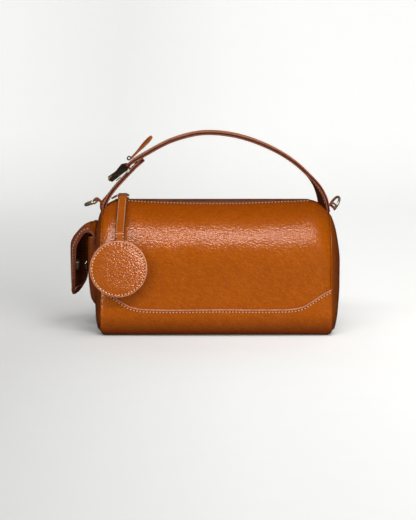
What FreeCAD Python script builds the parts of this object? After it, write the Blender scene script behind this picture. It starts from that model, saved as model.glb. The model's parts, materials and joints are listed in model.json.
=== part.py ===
"""Pillow bag: zipped leather barrel with a buckled handle, side rings, a round tag and a side pocket.

The bag stands on its base at the origin, +X runs along its length and -Y is its front.
"""
import FreeCAD
import Part
import Sketcher
import math
import os
from FreeCAD import Placement, Rotation, Vector

doc = FreeCAD.newDocument("pillow_bag")

# Driving sizes in millimetres
SIZES = {
    # leather barrel
    "body_half_length": 112.0,
    "body_half_depth": 60.0,
    "body_height": 128.0,
    "base_corner_radius": 7.0,
    "base_trim": 0.5,
    "leather": 1.6,
    "overlay_lip": 1.0,
    "overlay_height": 26.0,
    "overlay_rise": 18.4,
    "welt_width": 1.6,
    "welt_stand": 0.6,
    "gusset_bulge": 11.5,
    "pocket_end_bulge": 8.4,
    "gusset_wall": 1.8,
    "fit_gap": 0.3,
    "overrun": 30.0,
    # lining and base board
    "lining_wall": 0.8,
    "lining_slot_half": 7.0,
    "board_margin": 3.0,
    "board_end_margin": 7.5,
    "board_corner": 12.0,
    "slip_pocket_half_width": 45.0,
    "slip_pocket_low": 38.0,
    "slip_pocket_high": 88.0,
    "slip_pocket_wall": 0.6,
    # zip
    "zip_slot_half": 8.0,
    "zip_left_margin": 13.5,
    "zip_right_margin": 20.0,
    "tape_thickness": 0.6,
    "tape_half_width": 14.0,
    "tape_parting": 0.7,
    "teeth_pitch": 3.0,
    "tooth_length": 1.6,
    "teeth_parting": 0.6,
    "teeth_root": 2.0,
    "teeth_rail": 4.2,
    "teeth_height": 1.6,
    "teeth_seat": 0.35,
    "zip_stop_length": 1.4,
    # slider, ring and tag
    "slider_margin": 20.0,
    "slider_length": 11.0,
    "slider_half_width": 5.2,
    "slider_nose_half": 3.64,
    "slider_plate": 1.3,
    "slider_post_half": 0.35,
    "slider_post_length": 3.5,
    "slider_flange": 0.6,
    "bail_length": 3.0,
    "bail_wall": 1.2,
    "ring_wire_radius": 0.9,
    "ring_play": 0.4,
    "ring_reach": 8.6,
    "ring_rise": 1.4,
    "ring_back_half": 10.0,
    "ring_front_half": 6.8,
    "ring_corner": 1.6,
    "tag_strap_width": 10.0,
    "tag_leather": 1.5,
    "tag_drape_gap": 1.2,
    "tag_disc_radius": 27.6,
    "tag_disc_leather": 1.8,
    "tag_disc_drop": 1.0,
    "tag_lean": 4.0,
    "tag_edge": 0.5,
    "tag_stiffener_radius": 19.0,
    "tag_strap_tuck": 6.0,
    "tag_strap_lead": 6.9,
    # handle
    "handle_rise": 65.2,
    "handle_half_width": 11.5,
    "handle_leather": 1.6,
    "handle_axis_rise": 5.0,
    "handle_root_trim": 6.4,
    "tongue_half_width": 5.0,
    "tongue_leather": 1.6,
    "tongue_ring_radius": 2.2,
    "tongue_ring_hole": 1.1,
    "tongue_ring_half_width": 3.0,
    "stud_radius": 2.0,
    "eyelet_radius": 3.0,
    "eyelet_hole": 1.6,
    "eyelet_height": 0.8,
    # buckle
    "bar_radius": 1.5,
    "bar_clearance": 0.1,
    "fold_leather": 1.6,
    "fold_slot_half": 2.6,
    "frame_length": 18.5,
    "frame_tall": 5.3,
    "frame_low": 2.6,
    "frame_tip": 2.0,
    "frame_side": 2.0,
    "frame_side_gap": 0.6,
    "frame_bridge": 2.1,
    "frame_slope": 219.6,
    "prong_half_width": 2.2,
    "prong_thickness": 1.3,
    "prong_length": 19.6,
    "prong_lift": 3.1,
    # side rings
    "d_ring_wire": 1.6,
    "d_ring_half_width": 9.0,
    "d_ring_reach": 11.0,
    "d_ring_corner": 2.4,
    "tab_leather": 1.5,
    "tab_half_width": 6.0,
    "tab_drop": 13.0,
    "tab_tail": 2.2,
    "left_ring_stand": 7.0,
    "left_ring_drop": 2.7,
    "left_ring_slope": 199.0,
    "right_ring_stand": 3.9,
    "right_ring_drop": 8.2,
    "right_ring_slope": 57.0,
    # side pocket
    "pocket_stand": 16.6,
    "pocket_half_width": 26.0,
    "pocket_top_share": 0.7265625,
    "pocket_bottom_share": 0.15625,
    "pocket_wall": 1.5,
    "pocket_corner": 14.0,
    "flap_half_width": 28.0,
    "flap_bottom_share": 0.296875,
    "flap_corner": 20.0,
    "flap_leather": 1.5,
    "flap_axis_stand": 11.1,
    "flap_axis_share": 0.79296875,
    "flap_reach": 18.6,
    "flap_root_height": 8.0,
    "snap_share": 0.484375,
    "snap_radius": 5.8,
    "snap_base": 1.2,
    "snap_post_radius": 2.4,
    "snap_post": 1.6,
    "snap_socket_hole": 3.0,
    "snap_socket": 2.3,
}

sheet = doc.addObject("Spreadsheet::Sheet", "Sizes")
for row, (alias, value) in enumerate(SIZES.items(), start=1):
    sheet.set(f"A{row}", alias)
    sheet.set(f"B{row}", str(value))
    sheet.setAlias(f"B{row}", alias)
doc.recompute()


def size(alias):
    """Value of one driving size."""
    return float(sheet.get(alias))


X_WAY = Vector(1, 0, 0)
Y_WAY = Vector(0, 1, 0)
Z_WAY = Vector(0, 0, 1)
sub_parts = []

# Barrel outline at stations along its length: shares of half length, half depth and height
STATION_SHARES = [
    (-1.0, 0.87, 0.94),
    (-0.96, 0.9, 0.972),
    (-0.9, 0.935, 0.995),
    (-0.75, 0.968, 1.0),
    (-0.4, 0.993, 1.0),
    (0.0, 1.0, 1.0),
    (0.4, 0.994, 1.0),
    (0.72, 0.973, 1.0),
    (0.86, 0.946, 0.992),
    (0.94, 0.915, 0.96),
    (1.0, 0.87, 0.908),
]
# Gusset dome: shares of its bulge, and insets as shares of the half depth
DOME_SHARES = [(0.0, 0.0), (0.35, 0.025), (0.62, 0.11), (0.85, 0.27), (1.0, 0.48)]
# Top edge of the base overlay: shares of the half length and of the edge's rise
OVERLAY_SHARES = [(0.62, 0.0), (0.74, 0.12), (0.82, 0.38), (0.92, 0.77), (1.0, 1.0)]
# Handle strap and anchor strap: shares of the half length and of the handle's rise
HANDLE_SHARES = [
    (-0.798, 0.469),
    (-0.75, 0.567),
    (-0.62, 0.704),
    (-0.407, 0.887),
    (-0.195, 0.985),
    (-0.027, 1.0),
    (0.179, 0.954),
    (0.388, 0.841),
    (0.601, 0.66),
    (0.761, 0.454),
    (0.883, 0.222),
    (0.954, 0.008),
    (0.99, -0.2),
]
ANCHOR_SHARES = [
    (-1.022, -0.19),
    (-1.004, -0.08),
    (-0.968, 0.077),
    (-0.899, 0.207),
    (-0.791, 0.362),
    (-0.689, 0.511),
    (-0.631, 0.589),
]
TONGUE_SHARES = [(-0.752, 0.604), (-0.7, 0.7), (-0.64, 0.812), (-0.566, 0.943)]
BUCKLE_SHARE = HANDLE_SHARES[0]
STUD_SHARE = (-0.707, 0.54)
EYELET_SHARE = (-0.855, 0.275)
TONGUE_RING_SHARE = (-0.77, 0.612)
# Places on the crown that the tag strap touches, in degrees from the top
DRAPE_DEGREES = (18.0, 28.0, 37.0)
# Pocket wall and flap seen from the front: shares of the pocket face's distance and height
POCKET_SHARES = [(0.998, 1.0), (1.0, 0.75), (0.996, 0.54), (0.975, 0.3), (0.95, 0.2)]
FLAP_SHARES = [(0.0, 0.0), (0.27, -0.045), (0.63, -0.2), (0.87, -0.41), (0.96, -0.68), (1.0, -1.0)]


def add_shape(label, shape, turn=None):
    """Keep a shape as one named sub-part, which may be turned by a placement."""
    feature = doc.addObject("Part::Feature", label)
    feature.Label = label
    feature.Shape = shape
    feature.Placement = turn or Placement()
    sub_parts.append(feature)
    return feature


def block(low_x, high_x, low_y, high_y, low_z, high_z):
    """Plain block between six planes."""
    corner = Vector(low_x, low_y, low_z)
    return Part.makeBox(high_x - low_x, high_y - low_y, high_z - low_z, corner)


def section_wire(x, half_depth, height, inset, floor):
    """Closed outline of the barrel at one station: flat base, upright sides, round crown."""
    side = half_depth - inset
    corner = max(size("base_corner_radius") - inset, size("leather"))
    crown = height - half_depth
    diagonal = math.sqrt(0.5)

    def at(y, z):
        return Vector(x, y, z)

    right_corner = at(side - corner + corner * diagonal, floor + corner - corner * diagonal)
    left_corner = at(corner - side - corner * diagonal, floor + corner - corner * diagonal)
    runs = [
        Part.LineSegment(at(corner - side, floor), at(side - corner, floor)),
        Part.Arc(at(side - corner, floor), right_corner, at(side, floor + corner)),
        Part.LineSegment(at(side, floor + corner), at(side, crown)),
        Part.Arc(at(side, crown), at(side * diagonal, crown + side * diagonal), at(0, crown + side)),
        Part.Arc(at(0, crown + side), at(-side * diagonal, crown + side * diagonal), at(-side, crown)),
        Part.LineSegment(at(-side, crown), at(-side, floor + corner)),
        Part.Arc(at(-side, floor + corner), left_corner, at(corner - side, floor)),
    ]
    return Part.Wire([run.toShape() for run in runs])


def barrel(inset, half_length):
    """Solid barrel whose skin lies a given distance inside the outermost leather."""
    floor = inset if inset > 0 else -size("base_trim")
    wires = []
    for along, depth_share, height_share in STATION_SHARES:
        half_depth = depth_share * size("body_half_depth")
        height = height_share * size("body_height")
        wires.append(section_wire(along * half_length, half_depth, height, inset, floor))
    return Part.makeLoft(wires, True, False)


def dome(side, bulge, start, inset):
    """Solid end cap that swells outwards from one end of the barrel."""
    end = STATION_SHARES[-1] if side > 0 else STATION_SHARES[0]
    half_depth = end[1] * size("body_half_depth")
    height = end[2] * size("body_height")
    wires = []
    for out_share, inset_share in DOME_SHARES:
        drawn_in = inset + inset_share * half_depth
        wires.append(section_wire(side * (start + out_share * bulge), half_depth, height, drawn_in, drawn_in))
    return Part.makeLoft(wires, True, False)


# Layers of the barrel, as distances from the outermost leather
panel_top = size("overlay_lip")
panel_back = panel_top + size("leather")
tape_top = panel_back + size("fit_gap")
tape_back = tape_top + size("tape_thickness")
lining_top = tape_back + size("fit_gap")
lining_back = lining_top + size("lining_wall")
panel_half_length = size("body_half_length") - size("welt_width") / 2
gusset_start = size("body_half_length") + size("welt_width") / 2
far = size("body_half_length") + size("overrun")
above = size("body_height") + size("overrun")
zip_left_end = size("body_half_length") - size("zip_left_margin")
zip_right_end = size("body_half_length") - size("zip_right_margin")
above_ground = block(-far, far, -far, far, 0, above)

outer_barrel = barrel(0, panel_half_length).common(above_ground)
panel_barrel = barrel(panel_top, panel_half_length)
inner_barrel = barrel(panel_back, panel_half_length)


def overlay_region():
    """Block that holds everything under the curved top edge of the base overlay."""
    base = size("overlay_height")
    rise = size("overlay_rise")
    half = size("body_half_length")
    edge = [Vector(along * half, -far, base + share * rise) for along, share in OVERLAY_SHARES]
    mirrored = [Vector(-point.x, point.y, point.z) for point in edge]
    beyond_right = Vector(far, -far, edge[-1].z)
    beyond_left = Vector(-far, -far, edge[-1].z)
    low_right = Vector(far, -far, -size("overrun"))
    low_left = Vector(-far, -far, -size("overrun"))
    runs = [
        Part.LineSegment(mirrored[0], edge[0]),
        Part.Arc(edge[0], edge[1], edge[2]),
        Part.Arc(edge[2], edge[3], edge[4]),
        Part.LineSegment(edge[4], beyond_right),
        Part.LineSegment(beyond_right, low_right),
        Part.LineSegment(low_right, low_left),
        Part.LineSegment(low_left, beyond_left),
        Part.LineSegment(beyond_left, mirrored[4]),
        Part.Arc(mirrored[4], mirrored[3], mirrored[2]),
        Part.Arc(mirrored[2], mirrored[1], mirrored[0]),
    ]
    face = Part.Face(Part.Wire([run.toShape() for run in runs]))
    return face.extrude(Y_WAY * (2 * far))


base_region = overlay_region()
slot_half = size("zip_slot_half")
front_half = block(-far, far, -far, -slot_half, 0, above)
back_half = block(-far, far, slot_half, far, 0, above)
upper_shell = panel_barrel.cut(inner_barrel).cut(base_region)

add_shape("base_panel", outer_barrel.cut(inner_barrel).common(base_region))
add_shape("front_panel", upper_shell.common(front_half))
add_shape("back_panel", upper_shell.common(back_half))


def make_ends():
    """Welts in the end seams and the domed gussets outside them."""
    shells = {}
    for name, side, bulge_alias in (("left", -1, "pocket_end_bulge"), ("right", 1, "gusset_bulge")):
        end = STATION_SHARES[-1] if side > 0 else STATION_SHARES[0]
        half_depth = end[1] * size("body_half_depth")
        height = end[2] * size("body_height")
        stand = -size("welt_stand")
        seam = side * size("body_half_length") - size("welt_width") / 2
        rim = Part.Face(section_wire(seam, half_depth, height, stand, stand))
        hollow = Part.Face(section_wire(seam, half_depth, height, lining_top, lining_top))
        ring = rim.cut(hollow).extrude(X_WAY * size("welt_width"))
        add_shape(name + "_welt", ring.common(above_ground))
        bulge = size(bulge_alias)
        wall = size("gusset_wall")
        outside = dome(side, bulge, gusset_start, panel_top)
        inside = dome(side, bulge - wall, gusset_start, panel_top + wall)
        add_shape(name + "_gusset", outside.cut(inside))
        shells[name] = outside.fuse(rim.extrude(X_WAY * size("welt_width")))
    return shells


end_shells = make_ends()


def plane_of(body, role):
    """Origin plane of a body."""
    return [item for item in body.Origin.OriginFeatures if item.Role == role][0]


def new_body(label, turn=None):
    """Empty body with its own label and placement."""
    body = doc.addObject("PartDesign::Body", label)
    body.Label = label
    body.Placement = turn or Placement()
    sub_parts.append(body)
    return body


def new_sketch(body, name, role, geometry, lift=None):
    """Sketch on one origin plane; lift is an expression for its distance from the plane."""
    sketch = body.newObject("Sketcher::SketchObject", name)
    sketch.AttachmentSupport = [(plane_of(body, role), "")]
    sketch.MapMode = "FlatFace"
    sketch.addGeometry(geometry, False)
    if lift:
        sketch.setExpression("AttachmentOffset.Base.z", lift)
    return sketch


def circle_sketch(body, name, role, radius, lift=None):
    """Sketch of a circle about the origin whose radius follows an expression."""
    circle = Part.Circle(Vector(), Z_WAY, size("leather"))
    sketch = new_sketch(body, name, role, [circle], lift)
    index = sketch.addConstraint(Sketcher.Constraint("Radius", 0, size("leather")))
    sketch.setExpression(f"Constraints[{index}]", radius)
    return sketch


def pad(body, name, sketch, length, both_ways=False):
    """Pad whose length follows an expression."""
    feature = body.newObject("PartDesign::Pad", name)
    feature.Profile = sketch
    feature.Midplane = both_ways
    feature.setExpression("Length", length)
    return feature


def polygon(points):
    """Closed run of straight lines through points."""
    closed = points[1:] + points[:1]
    return [Part.LineSegment(start, end) for start, end in zip(points, closed)]


def disc_body(label, radius, thickness, turn, edge=None):
    """Round flat body whose sizes follow expressions, with softened rims."""
    body = new_body(label, turn)
    sketch = circle_sketch(body, label + "_outline", "XY_Plane", radius)
    feature = pad(body, label + "_pad", sketch, thickness)
    doc.recompute()
    if edge:
        rim = body.newObject("PartDesign::Fillet", label + "_rim")
        rim.Base = (feature, ["Edge1", "Edge3"])
        rim.setExpression("Radius", edge)
    return body


def rounded_outline(corners, radii):
    """Closed outline of straight runs joined by tangent arcs."""
    starts = []
    middles = []
    ends = []
    for index, (corner, radius) in enumerate(zip(corners, radii)):
        before = corners[index - 1] - corner
        after = corners[(index + 1) % len(corners)] - corner
        before.normalize()
        after.normalize()
        half_turn = before.getAngle(after) / 2
        inwards = (before + after).normalize()
        starts.append(corner + before * (radius / math.tan(half_turn)))
        ends.append(corner + after * (radius / math.tan(half_turn)))
        middles.append(corner + inwards * (radius / math.sin(half_turn) - radius))
    runs = []
    for index in range(len(corners)):
        runs.append(Part.Arc(starts[index], middles[index], ends[index]))
        runs.append(Part.LineSegment(ends[index], starts[(index + 1) % len(corners)]))
    return runs


def wire_ring(label, corners, radii, wire_alias, turn):
    """Ring of round wire bent along a closed outline, which crosses the Y axis square."""
    body = new_body(label, turn)
    path = new_sketch(body, label + "_path", "XY_Plane", rounded_outline(corners, radii))
    section = circle_sketch(body, label + "_section", "YZ_Plane", "Sizes." + wire_alias)
    doc.recompute()
    pipe = body.newObject("PartDesign::AdditivePipe", label + "_wire")
    pipe.Profile = section
    pipe.Spine = path
    return body


def make_inside():
    """Base board, lining and the slip pocket sewn to the back of the lining."""
    board = new_body("base_board", Placement(Vector(0, 0, panel_back), Rotation()))
    half_long = size("body_half_length") - size("board_end_margin")
    half_deep = STATION_SHARES[0][1] * size("body_half_depth") - size("base_corner_radius") - size("board_margin")
    corners = [
        Vector(-half_long, -half_deep, 0),
        Vector(half_long, -half_deep, 0),
        Vector(half_long, half_deep, 0),
        Vector(-half_long, half_deep, 0),
    ]
    outline = rounded_outline(corners, [size("board_corner")] * len(corners))
    sketch = new_sketch(board, "board_outline", "XY_Plane", outline)
    pad(board, "board_pad", sketch, "2 * Sizes.fit_gap + Sizes.tape_thickness")

    wall = size("lining_wall")
    lining_half = panel_half_length - size("fit_gap")
    room = block(-lining_half, lining_half, -far, far, 0, above)
    inner_half = lining_half - wall
    inner_room = block(-inner_half, inner_half, -far, far, 0, above)
    lining = barrel(lining_top, panel_half_length).common(room)
    lining = lining.cut(barrel(lining_back, panel_half_length).common(inner_room))
    slot = size("lining_slot_half")
    mouth = block(-zip_left_end, zip_right_end, -slot, slot, size("body_height") / 2, above)
    add_shape("lining", lining.cut(mouth))

    pocket_top = lining_back + size("fit_gap")
    skin = barrel(pocket_top, panel_half_length)
    skin = skin.cut(barrel(pocket_top + size("slip_pocket_wall"), panel_half_length))
    half = size("slip_pocket_half_width")
    window = block(-half, half, 0, far, size("slip_pocket_low"), size("slip_pocket_high"))
    add_shape("slip_pocket", skin.common(window))


make_inside()


def make_zip():
    """Tapes, rows of teeth, stops and the leather ends that close the slot past the zip."""
    tape_skin = barrel(tape_top, panel_half_length).cut(barrel(tape_back, panel_half_length))
    left = -zip_left_end - size("zip_slot_half")
    right = zip_right_end + size("zip_slot_half")
    parting = size("tape_parting")
    half = size("tape_half_width")
    low = size("body_height") / 2
    add_shape("front_zip_tape", tape_skin.common(block(left, right, -half, -parting, low, above)))
    add_shape("back_zip_tape", tape_skin.common(block(left, right, parting, half, low, above)))

    teeth_low = size("body_height") - tape_top + size("teeth_seat")
    rail = size("teeth_rail")
    root = size("teeth_root")
    tip = size("teeth_parting")
    length = size("tooth_length")
    pitch = size("teeth_pitch")
    start = -zip_left_end
    count = int((zip_right_end - start) / pitch)
    end = start + count * pitch
    for name, side in (("front", -1), ("back", 1)):
        points = [Vector(start, side * rail, teeth_low)]
        for index in range(count):
            tooth = start + index * pitch
            points.append(Vector(tooth, side * root, teeth_low))
            points.append(Vector(tooth, side * tip, teeth_low))
            points.append(Vector(tooth + length, side * tip, teeth_low))
            points.append(Vector(tooth + length, side * root, teeth_low))
        points.append(Vector(end, side * root, teeth_low))
        points.append(Vector(end, side * rail, teeth_low))
        points.append(points[0])
        comb = Part.Face(Part.makePolygon(points)).extrude(Z_WAY * size("teeth_height"))
        add_shape(name + "_zip_teeth", comb)

    stop = size("zip_stop_length")
    gap = size("fit_gap")
    stops = []
    for low_x in (start - gap - stop, end + gap):
        stops.append(block(low_x, low_x + stop, -rail, rail, teeth_low, teeth_low + size("teeth_height")))
    add_shape("zip_stops", Part.makeCompound(stops))

    strip = panel_barrel.cut(inner_barrel).common(block(-far, far, -slot_half, slot_half, low, above))
    left_end = start - 2 * (gap + stop)
    right_end = end + 2 * (gap + stop)
    add_shape("left_zip_end", strip.common(block(-far, left_end, -far, far, 0, above)))
    add_shape("right_zip_end", strip.common(block(right_end, far, -far, far, 0, above)))
    return teeth_low, end


teeth_floor, teeth_end = make_zip()
teeth_crest = teeth_floor + size("teeth_height")
slider_x = size("slider_margin") - size("body_half_length")
slider_plate_low = teeth_crest + size("fit_gap")
slider_plate_top = slider_plate_low + size("slider_plate")
ring_axis_z = slider_plate_top + size("ring_play") + size("ring_wire_radius")


def make_slider():
    """Slider: plates above and below the tapes on a thin post, with a bail across the top."""
    body = new_body("zip_slider", Placement(Vector(slider_x, 0, 0), Rotation()))
    half_long = size("slider_length") / 2
    half_wide = size("slider_half_width")
    nose = size("slider_nose_half")
    plate = [
        Vector(-half_long, -half_wide, 0),
        Vector(half_long / 2, -half_wide, 0),
        Vector(half_long, -nose, 0),
        Vector(half_long, nose, 0),
        Vector(half_long / 2, half_wide, 0),
        Vector(-half_long, half_wide, 0),
    ]
    lift = f"{slider_plate_low}"
    top_sketch = new_sketch(body, "slider_top_outline", "XY_Plane", polygon(plate), lift)
    pad(body, "slider_top", top_sketch, "Sizes.slider_plate")

    under_top = size("body_height") - tape_back - 2 * size("fit_gap")
    post_half = size("slider_post_half")
    post_long = size("slider_post_length")
    post = [
        Vector(half_long - post_long, -post_half, 0),
        Vector(half_long, -post_half, 0),
        Vector(half_long, post_half, 0),
        Vector(half_long - post_long, post_half, 0),
    ]
    post_sketch = new_sketch(body, "slider_post_outline", "XY_Plane", polygon(post), f"{under_top}")
    pad(body, "slider_post", post_sketch, f"{slider_plate_low - under_top}")
    low_sketch = new_sketch(body, "slider_under_outline", "XY_Plane", polygon(plate), f"{under_top}")
    under = pad(body, "slider_under", low_sketch, "Sizes.slider_plate")
    under.Reversed = True

    flange = size("slider_flange")
    for name, side in (("front", -1), ("back", 1)):
        inner = side * (half_wide - flange)
        outer = side * half_wide
        strip = [
            Vector(-half_long, inner, 0),
            Vector(half_long / 2, inner, 0),
            Vector(half_long / 2, outer, 0),
            Vector(-half_long, outer, 0),
        ]
        sketch = new_sketch(body, f"slider_{name}_flange_outline", "XY_Plane", polygon(strip), lift)
        skirt = pad(body, f"slider_{name}_flange", sketch, "Sizes.teeth_height / 2")
        skirt.Reversed = True

    hole = size("ring_wire_radius") + size("ring_play")
    outer = hole + size("bail_wall")
    centre = Vector(0, ring_axis_z, 0)
    sunk = slider_plate_top - size("slider_plate") / 2
    arch = [
        Part.LineSegment(Vector(-outer, sunk, 0), Vector(outer, sunk, 0)),
        Part.LineSegment(Vector(outer, sunk, 0), Vector(outer, ring_axis_z, 0)),
        Part.Arc(Vector(outer, ring_axis_z, 0), Vector(0, ring_axis_z + outer, 0), Vector(-outer, ring_axis_z, 0)),
        Part.LineSegment(Vector(-outer, ring_axis_z, 0), Vector(-outer, sunk, 0)),
        Part.Circle(centre, Z_WAY, hole),
    ]
    bail = new_sketch(body, "slider_bail_outline", "YZ_Plane", arch)
    pad(body, "slider_bail", bail, "Sizes.bail_length", True)


make_slider()


def make_pull_ring():
    """Ring whose long bar turns in the slider's bail and whose short bar carries the tag."""
    back = size("ring_back_half")
    front = size("ring_front_half")
    reach = math.hypot(size("ring_reach"), size("ring_rise"))
    corners = [
        Vector(-back, 0, 0),
        Vector(back, 0, 0),
        Vector(front, reach, 0),
        Vector(-front, reach, 0),
    ]
    way = Vector(0, -size("ring_reach"), size("ring_rise")).normalize()
    turn = Rotation(-X_WAY, way, -X_WAY.cross(way), "XYZ")
    place = Placement(Vector(slider_x, 0, ring_axis_z), turn)
    wire_ring("pull_ring", corners, [size("ring_corner")] * len(corners), "ring_wire_radius", place)


make_pull_ring()


def ribbon_edge(points, across, distance):
    """Spline at a given distance from the spline through some points, and its end points."""
    curve = Part.BSplineCurve()
    curve.interpolate(points)
    moved = []
    for point in points:
        along = curve.tangent(curve.parameter(point))[0]
        moved.append(point + along.cross(across).normalize() * distance)
    edge = Part.BSplineCurve()
    edge.interpolate(moved)
    return edge.toShape(), moved[0], moved[-1]


def ribbon(points, across, half_width, low, high):
    """Strip of leather along a curve between two distances from it."""
    low_edge, low_start, low_end = ribbon_edge(points, across, low)
    high_edge, high_start, high_end = ribbon_edge(points, across, high)
    start = Part.LineSegment(low_start, high_start).toShape()
    end = Part.LineSegment(high_end, low_end).toShape()
    face = Part.Face(Part.Wire(Part.__sortEdges__([low_edge, end, high_edge, start])))
    face.translate(across * -half_width)
    return face.extrude(across * (2 * half_width))


def on_curve(points, near, across):
    """Point of a curve nearest to a place, and the direction square to it there."""
    curve = Part.BSplineCurve()
    curve.interpolate(points)
    parameter = curve.parameter(near)
    along = curve.tangent(parameter)[0]
    return curve.value(parameter), along.cross(across).normalize()


def rod(place, way, radius, length):
    """Cylinder that starts at a place."""
    return Part.makeCylinder(radius, length, place, way)


def handle_point(share):
    """Place in the handle's plane from shares of the half length and of its rise."""
    along = share[0] * size("body_half_length")
    return Vector(along, 0, size("body_height") + share[1] * size("handle_rise"))


def make_tag():
    """Round tag and the doubled strap that hangs it from the pull ring."""
    fold = Vector(slider_x, -size("ring_reach"), ring_axis_z + size("ring_rise"))
    leather = size("tag_leather")
    hole = size("ring_wire_radius") + size("ring_play") / 2
    drape = size("body_half_depth") + size("tag_drape_gap") + leather - size("overlay_lip")
    crown = size("body_height") - size("body_half_depth")
    half_width = size("tag_strap_width") / 2

    lean = math.radians(size("tag_lean"))
    disc_leather = size("tag_disc_leather")
    half_stack = disc_leather + leather / 2
    radius = size("tag_disc_radius")
    bottom_y = -size("body_half_depth") - 2 * size("fit_gap")
    disc_y = bottom_y - half_stack * math.cos(lean) - radius * math.sin(lean)
    centre = Vector(slider_x, disc_y, crown - size("tag_disc_drop"))
    upwards = Vector(0, -math.sin(lean), math.cos(lean))
    outwards = Vector(0, -math.cos(lean), -math.sin(lean))

    path = [fold + Vector(0, -hole - leather, 0)]
    for degrees in DRAPE_DEGREES:
        angle = math.radians(degrees)
        path.append(Vector(slider_x, -drape * math.sin(angle), crown + drape * math.cos(angle)))
    rim = centre + upwards * radius
    path.append(rim + upwards * size("tag_strap_lead") + Vector(0, leather, 0))
    path.append(rim)
    whole = ribbon(path, X_WAY, half_width, -leather, leather)
    loop = rod(fold - X_WAY * half_width, X_WAY, hole + leather, 2 * half_width)
    loop = loop.fuse(whole)
    loop = loop.cut(rod(fold - X_WAY * half_width, X_WAY, hole, 2 * half_width))
    tuck = Part.makeBox(2 * half_width, leather, size("tag_strap_tuck"))
    turn = Rotation(X_WAY, -outwards, upwards, "XYZ")
    tuck_corner = rim - upwards * size("tag_strap_tuck") + outwards * (leather / 2) - X_WAY * half_width
    tuck.Placement = Placement(tuck_corner, turn)
    covers = []
    for label, start in (("tag_front_disc", leather / 2), ("tag_back_disc", -leather / 2 - disc_leather)):
        face_turn = Rotation(X_WAY, upwards, X_WAY.cross(upwards), "XYZ")
        place = Placement(centre + outwards * start, face_turn)
        disc_body(label, "Sizes.tag_disc_radius", "Sizes.tag_disc_leather", place, "Sizes.tag_edge")
        covers.append(rod(centre + outwards * start, outwards, radius, disc_leather))
    stiffener_place = Placement(centre - outwards * (leather / 2), face_turn)
    disc_body("tag_stiffener", "Sizes.tag_stiffener_radius", "Sizes.tag_leather", stiffener_place)
    strap = loop.cut(covers[0]).cut(covers[1]).fuse(tuck)
    add_shape("tag_strap", strap)


make_tag()


def make_handle():
    """Doubled handle strap, anchor strap, tongue and the roots that stay on the bag."""
    leather = size("handle_leather")
    half = size("handle_half_width")
    axis_z = size("body_height") + size("handle_axis_rise")
    top = axis_z + 2 * size("handle_rise")
    gap = size("fit_gap")
    handle_path = [handle_point(share) for share in HANDLE_SHARES]
    anchor_path = [handle_point(share) for share in ANCHOR_SHARES]
    bar = handle_point(BUCKLE_SHARE)
    swing_round = rod(Vector(-far, 0, axis_z), X_WAY, half, 2 * far)
    moving = block(-far, far, -far, far, axis_z, top).fuse(swing_round)
    root_round = rod(Vector(-far, 0, axis_z), X_WAY, half + gap, 2 * far)
    fixed = block(-far, far, -half, half, 0, axis_z - size("handle_root_trim")).cut(root_round)
    fold_outer = size("bar_radius") + size("bar_clearance") + size("fold_leather")
    bar_room = rod(bar - Y_WAY * half, Y_WAY, fold_outer + size("bar_clearance"), 2 * half)

    handle_outer = ribbon(handle_path, Y_WAY, half, 0, leather).cut(bar_room)
    handle_inner = ribbon(handle_path, Y_WAY, half, -leather, 0).cut(bar_room)
    anchor_outer = ribbon(anchor_path, Y_WAY, half, 0, leather)
    anchor_inner = ribbon(anchor_path, Y_WAY, half, -leather, 0)
    add_shape("handle_outer_layer", handle_outer.common(moving))
    add_shape("handle_inner_layer", handle_inner.common(moving))
    add_shape("anchor_outer_layer", anchor_outer.common(moving))
    add_shape("anchor_inner_layer", anchor_inner.common(moving))
    for name, strap in (
        ("left", ribbon(anchor_path, Y_WAY, half, -leather, leather)),
        ("right", ribbon(handle_path, Y_WAY, half, -leather, leather)),
    ):
        root = strap.common(fixed).cut(end_shells[name]).cut(outer_barrel)
        add_shape(name + "_handle_root", root)

    fold_hole = size("bar_radius") + size("bar_clearance")
    fold = rod(bar - Y_WAY * half, Y_WAY, fold_outer, 2 * half)
    fold = fold.cut(rod(bar - Y_WAY * half, Y_WAY, fold_hole, 2 * half))
    slot = size("fold_slot_half")
    fold = fold.cut(rod(bar - Y_WAY * slot, Y_WAY, fold_outer + gap, 2 * slot))
    add_shape("buckle_fold", fold)

    tongue_path = [handle_point(share) for share in TONGUE_SHARES]
    tongue_half = size("tongue_leather") / 2
    tongue = ribbon(tongue_path, Y_WAY, size("tongue_half_width"), -tongue_half, tongue_half)
    tongue = tongue.cut(handle_outer)
    ring_place = handle_point(TONGUE_RING_SHARE) - Y_WAY * size("tongue_ring_half_width")
    ring_length = 2 * size("tongue_ring_half_width")
    ring = rod(ring_place, Y_WAY, size("tongue_ring_radius"), ring_length)
    tongue = tongue.cut(ring)
    ring = ring.cut(rod(ring_place, Y_WAY, size("tongue_ring_hole"), ring_length)).cut(handle_outer)
    add_shape("strap_tongue", tongue)
    add_shape("tongue_ring", ring)

    stud_place, stud_way = on_curve(anchor_path, handle_point(STUD_SHARE), Y_WAY)
    stud = rod(stud_place, stud_way, size("stud_radius"), half / 2 + leather)
    stud = stud.cut(anchor_outer).cut(anchor_inner).cut(handle_inner).cut(handle_outer)
    add_shape("strap_stud", stud)
    eyelet_place, eyelet_way = on_curve(anchor_path, handle_point(EYELET_SHARE), Y_WAY)
    eyelet_place = eyelet_place + eyelet_way * leather
    eyelet = rod(eyelet_place, eyelet_way, size("eyelet_radius"), size("eyelet_height"))
    eyelet = eyelet.cut(rod(eyelet_place, eyelet_way, size("eyelet_hole"), size("eyelet_height")))
    add_shape("anchor_eyelet", eyelet.cut(anchor_outer))


make_handle()


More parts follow.
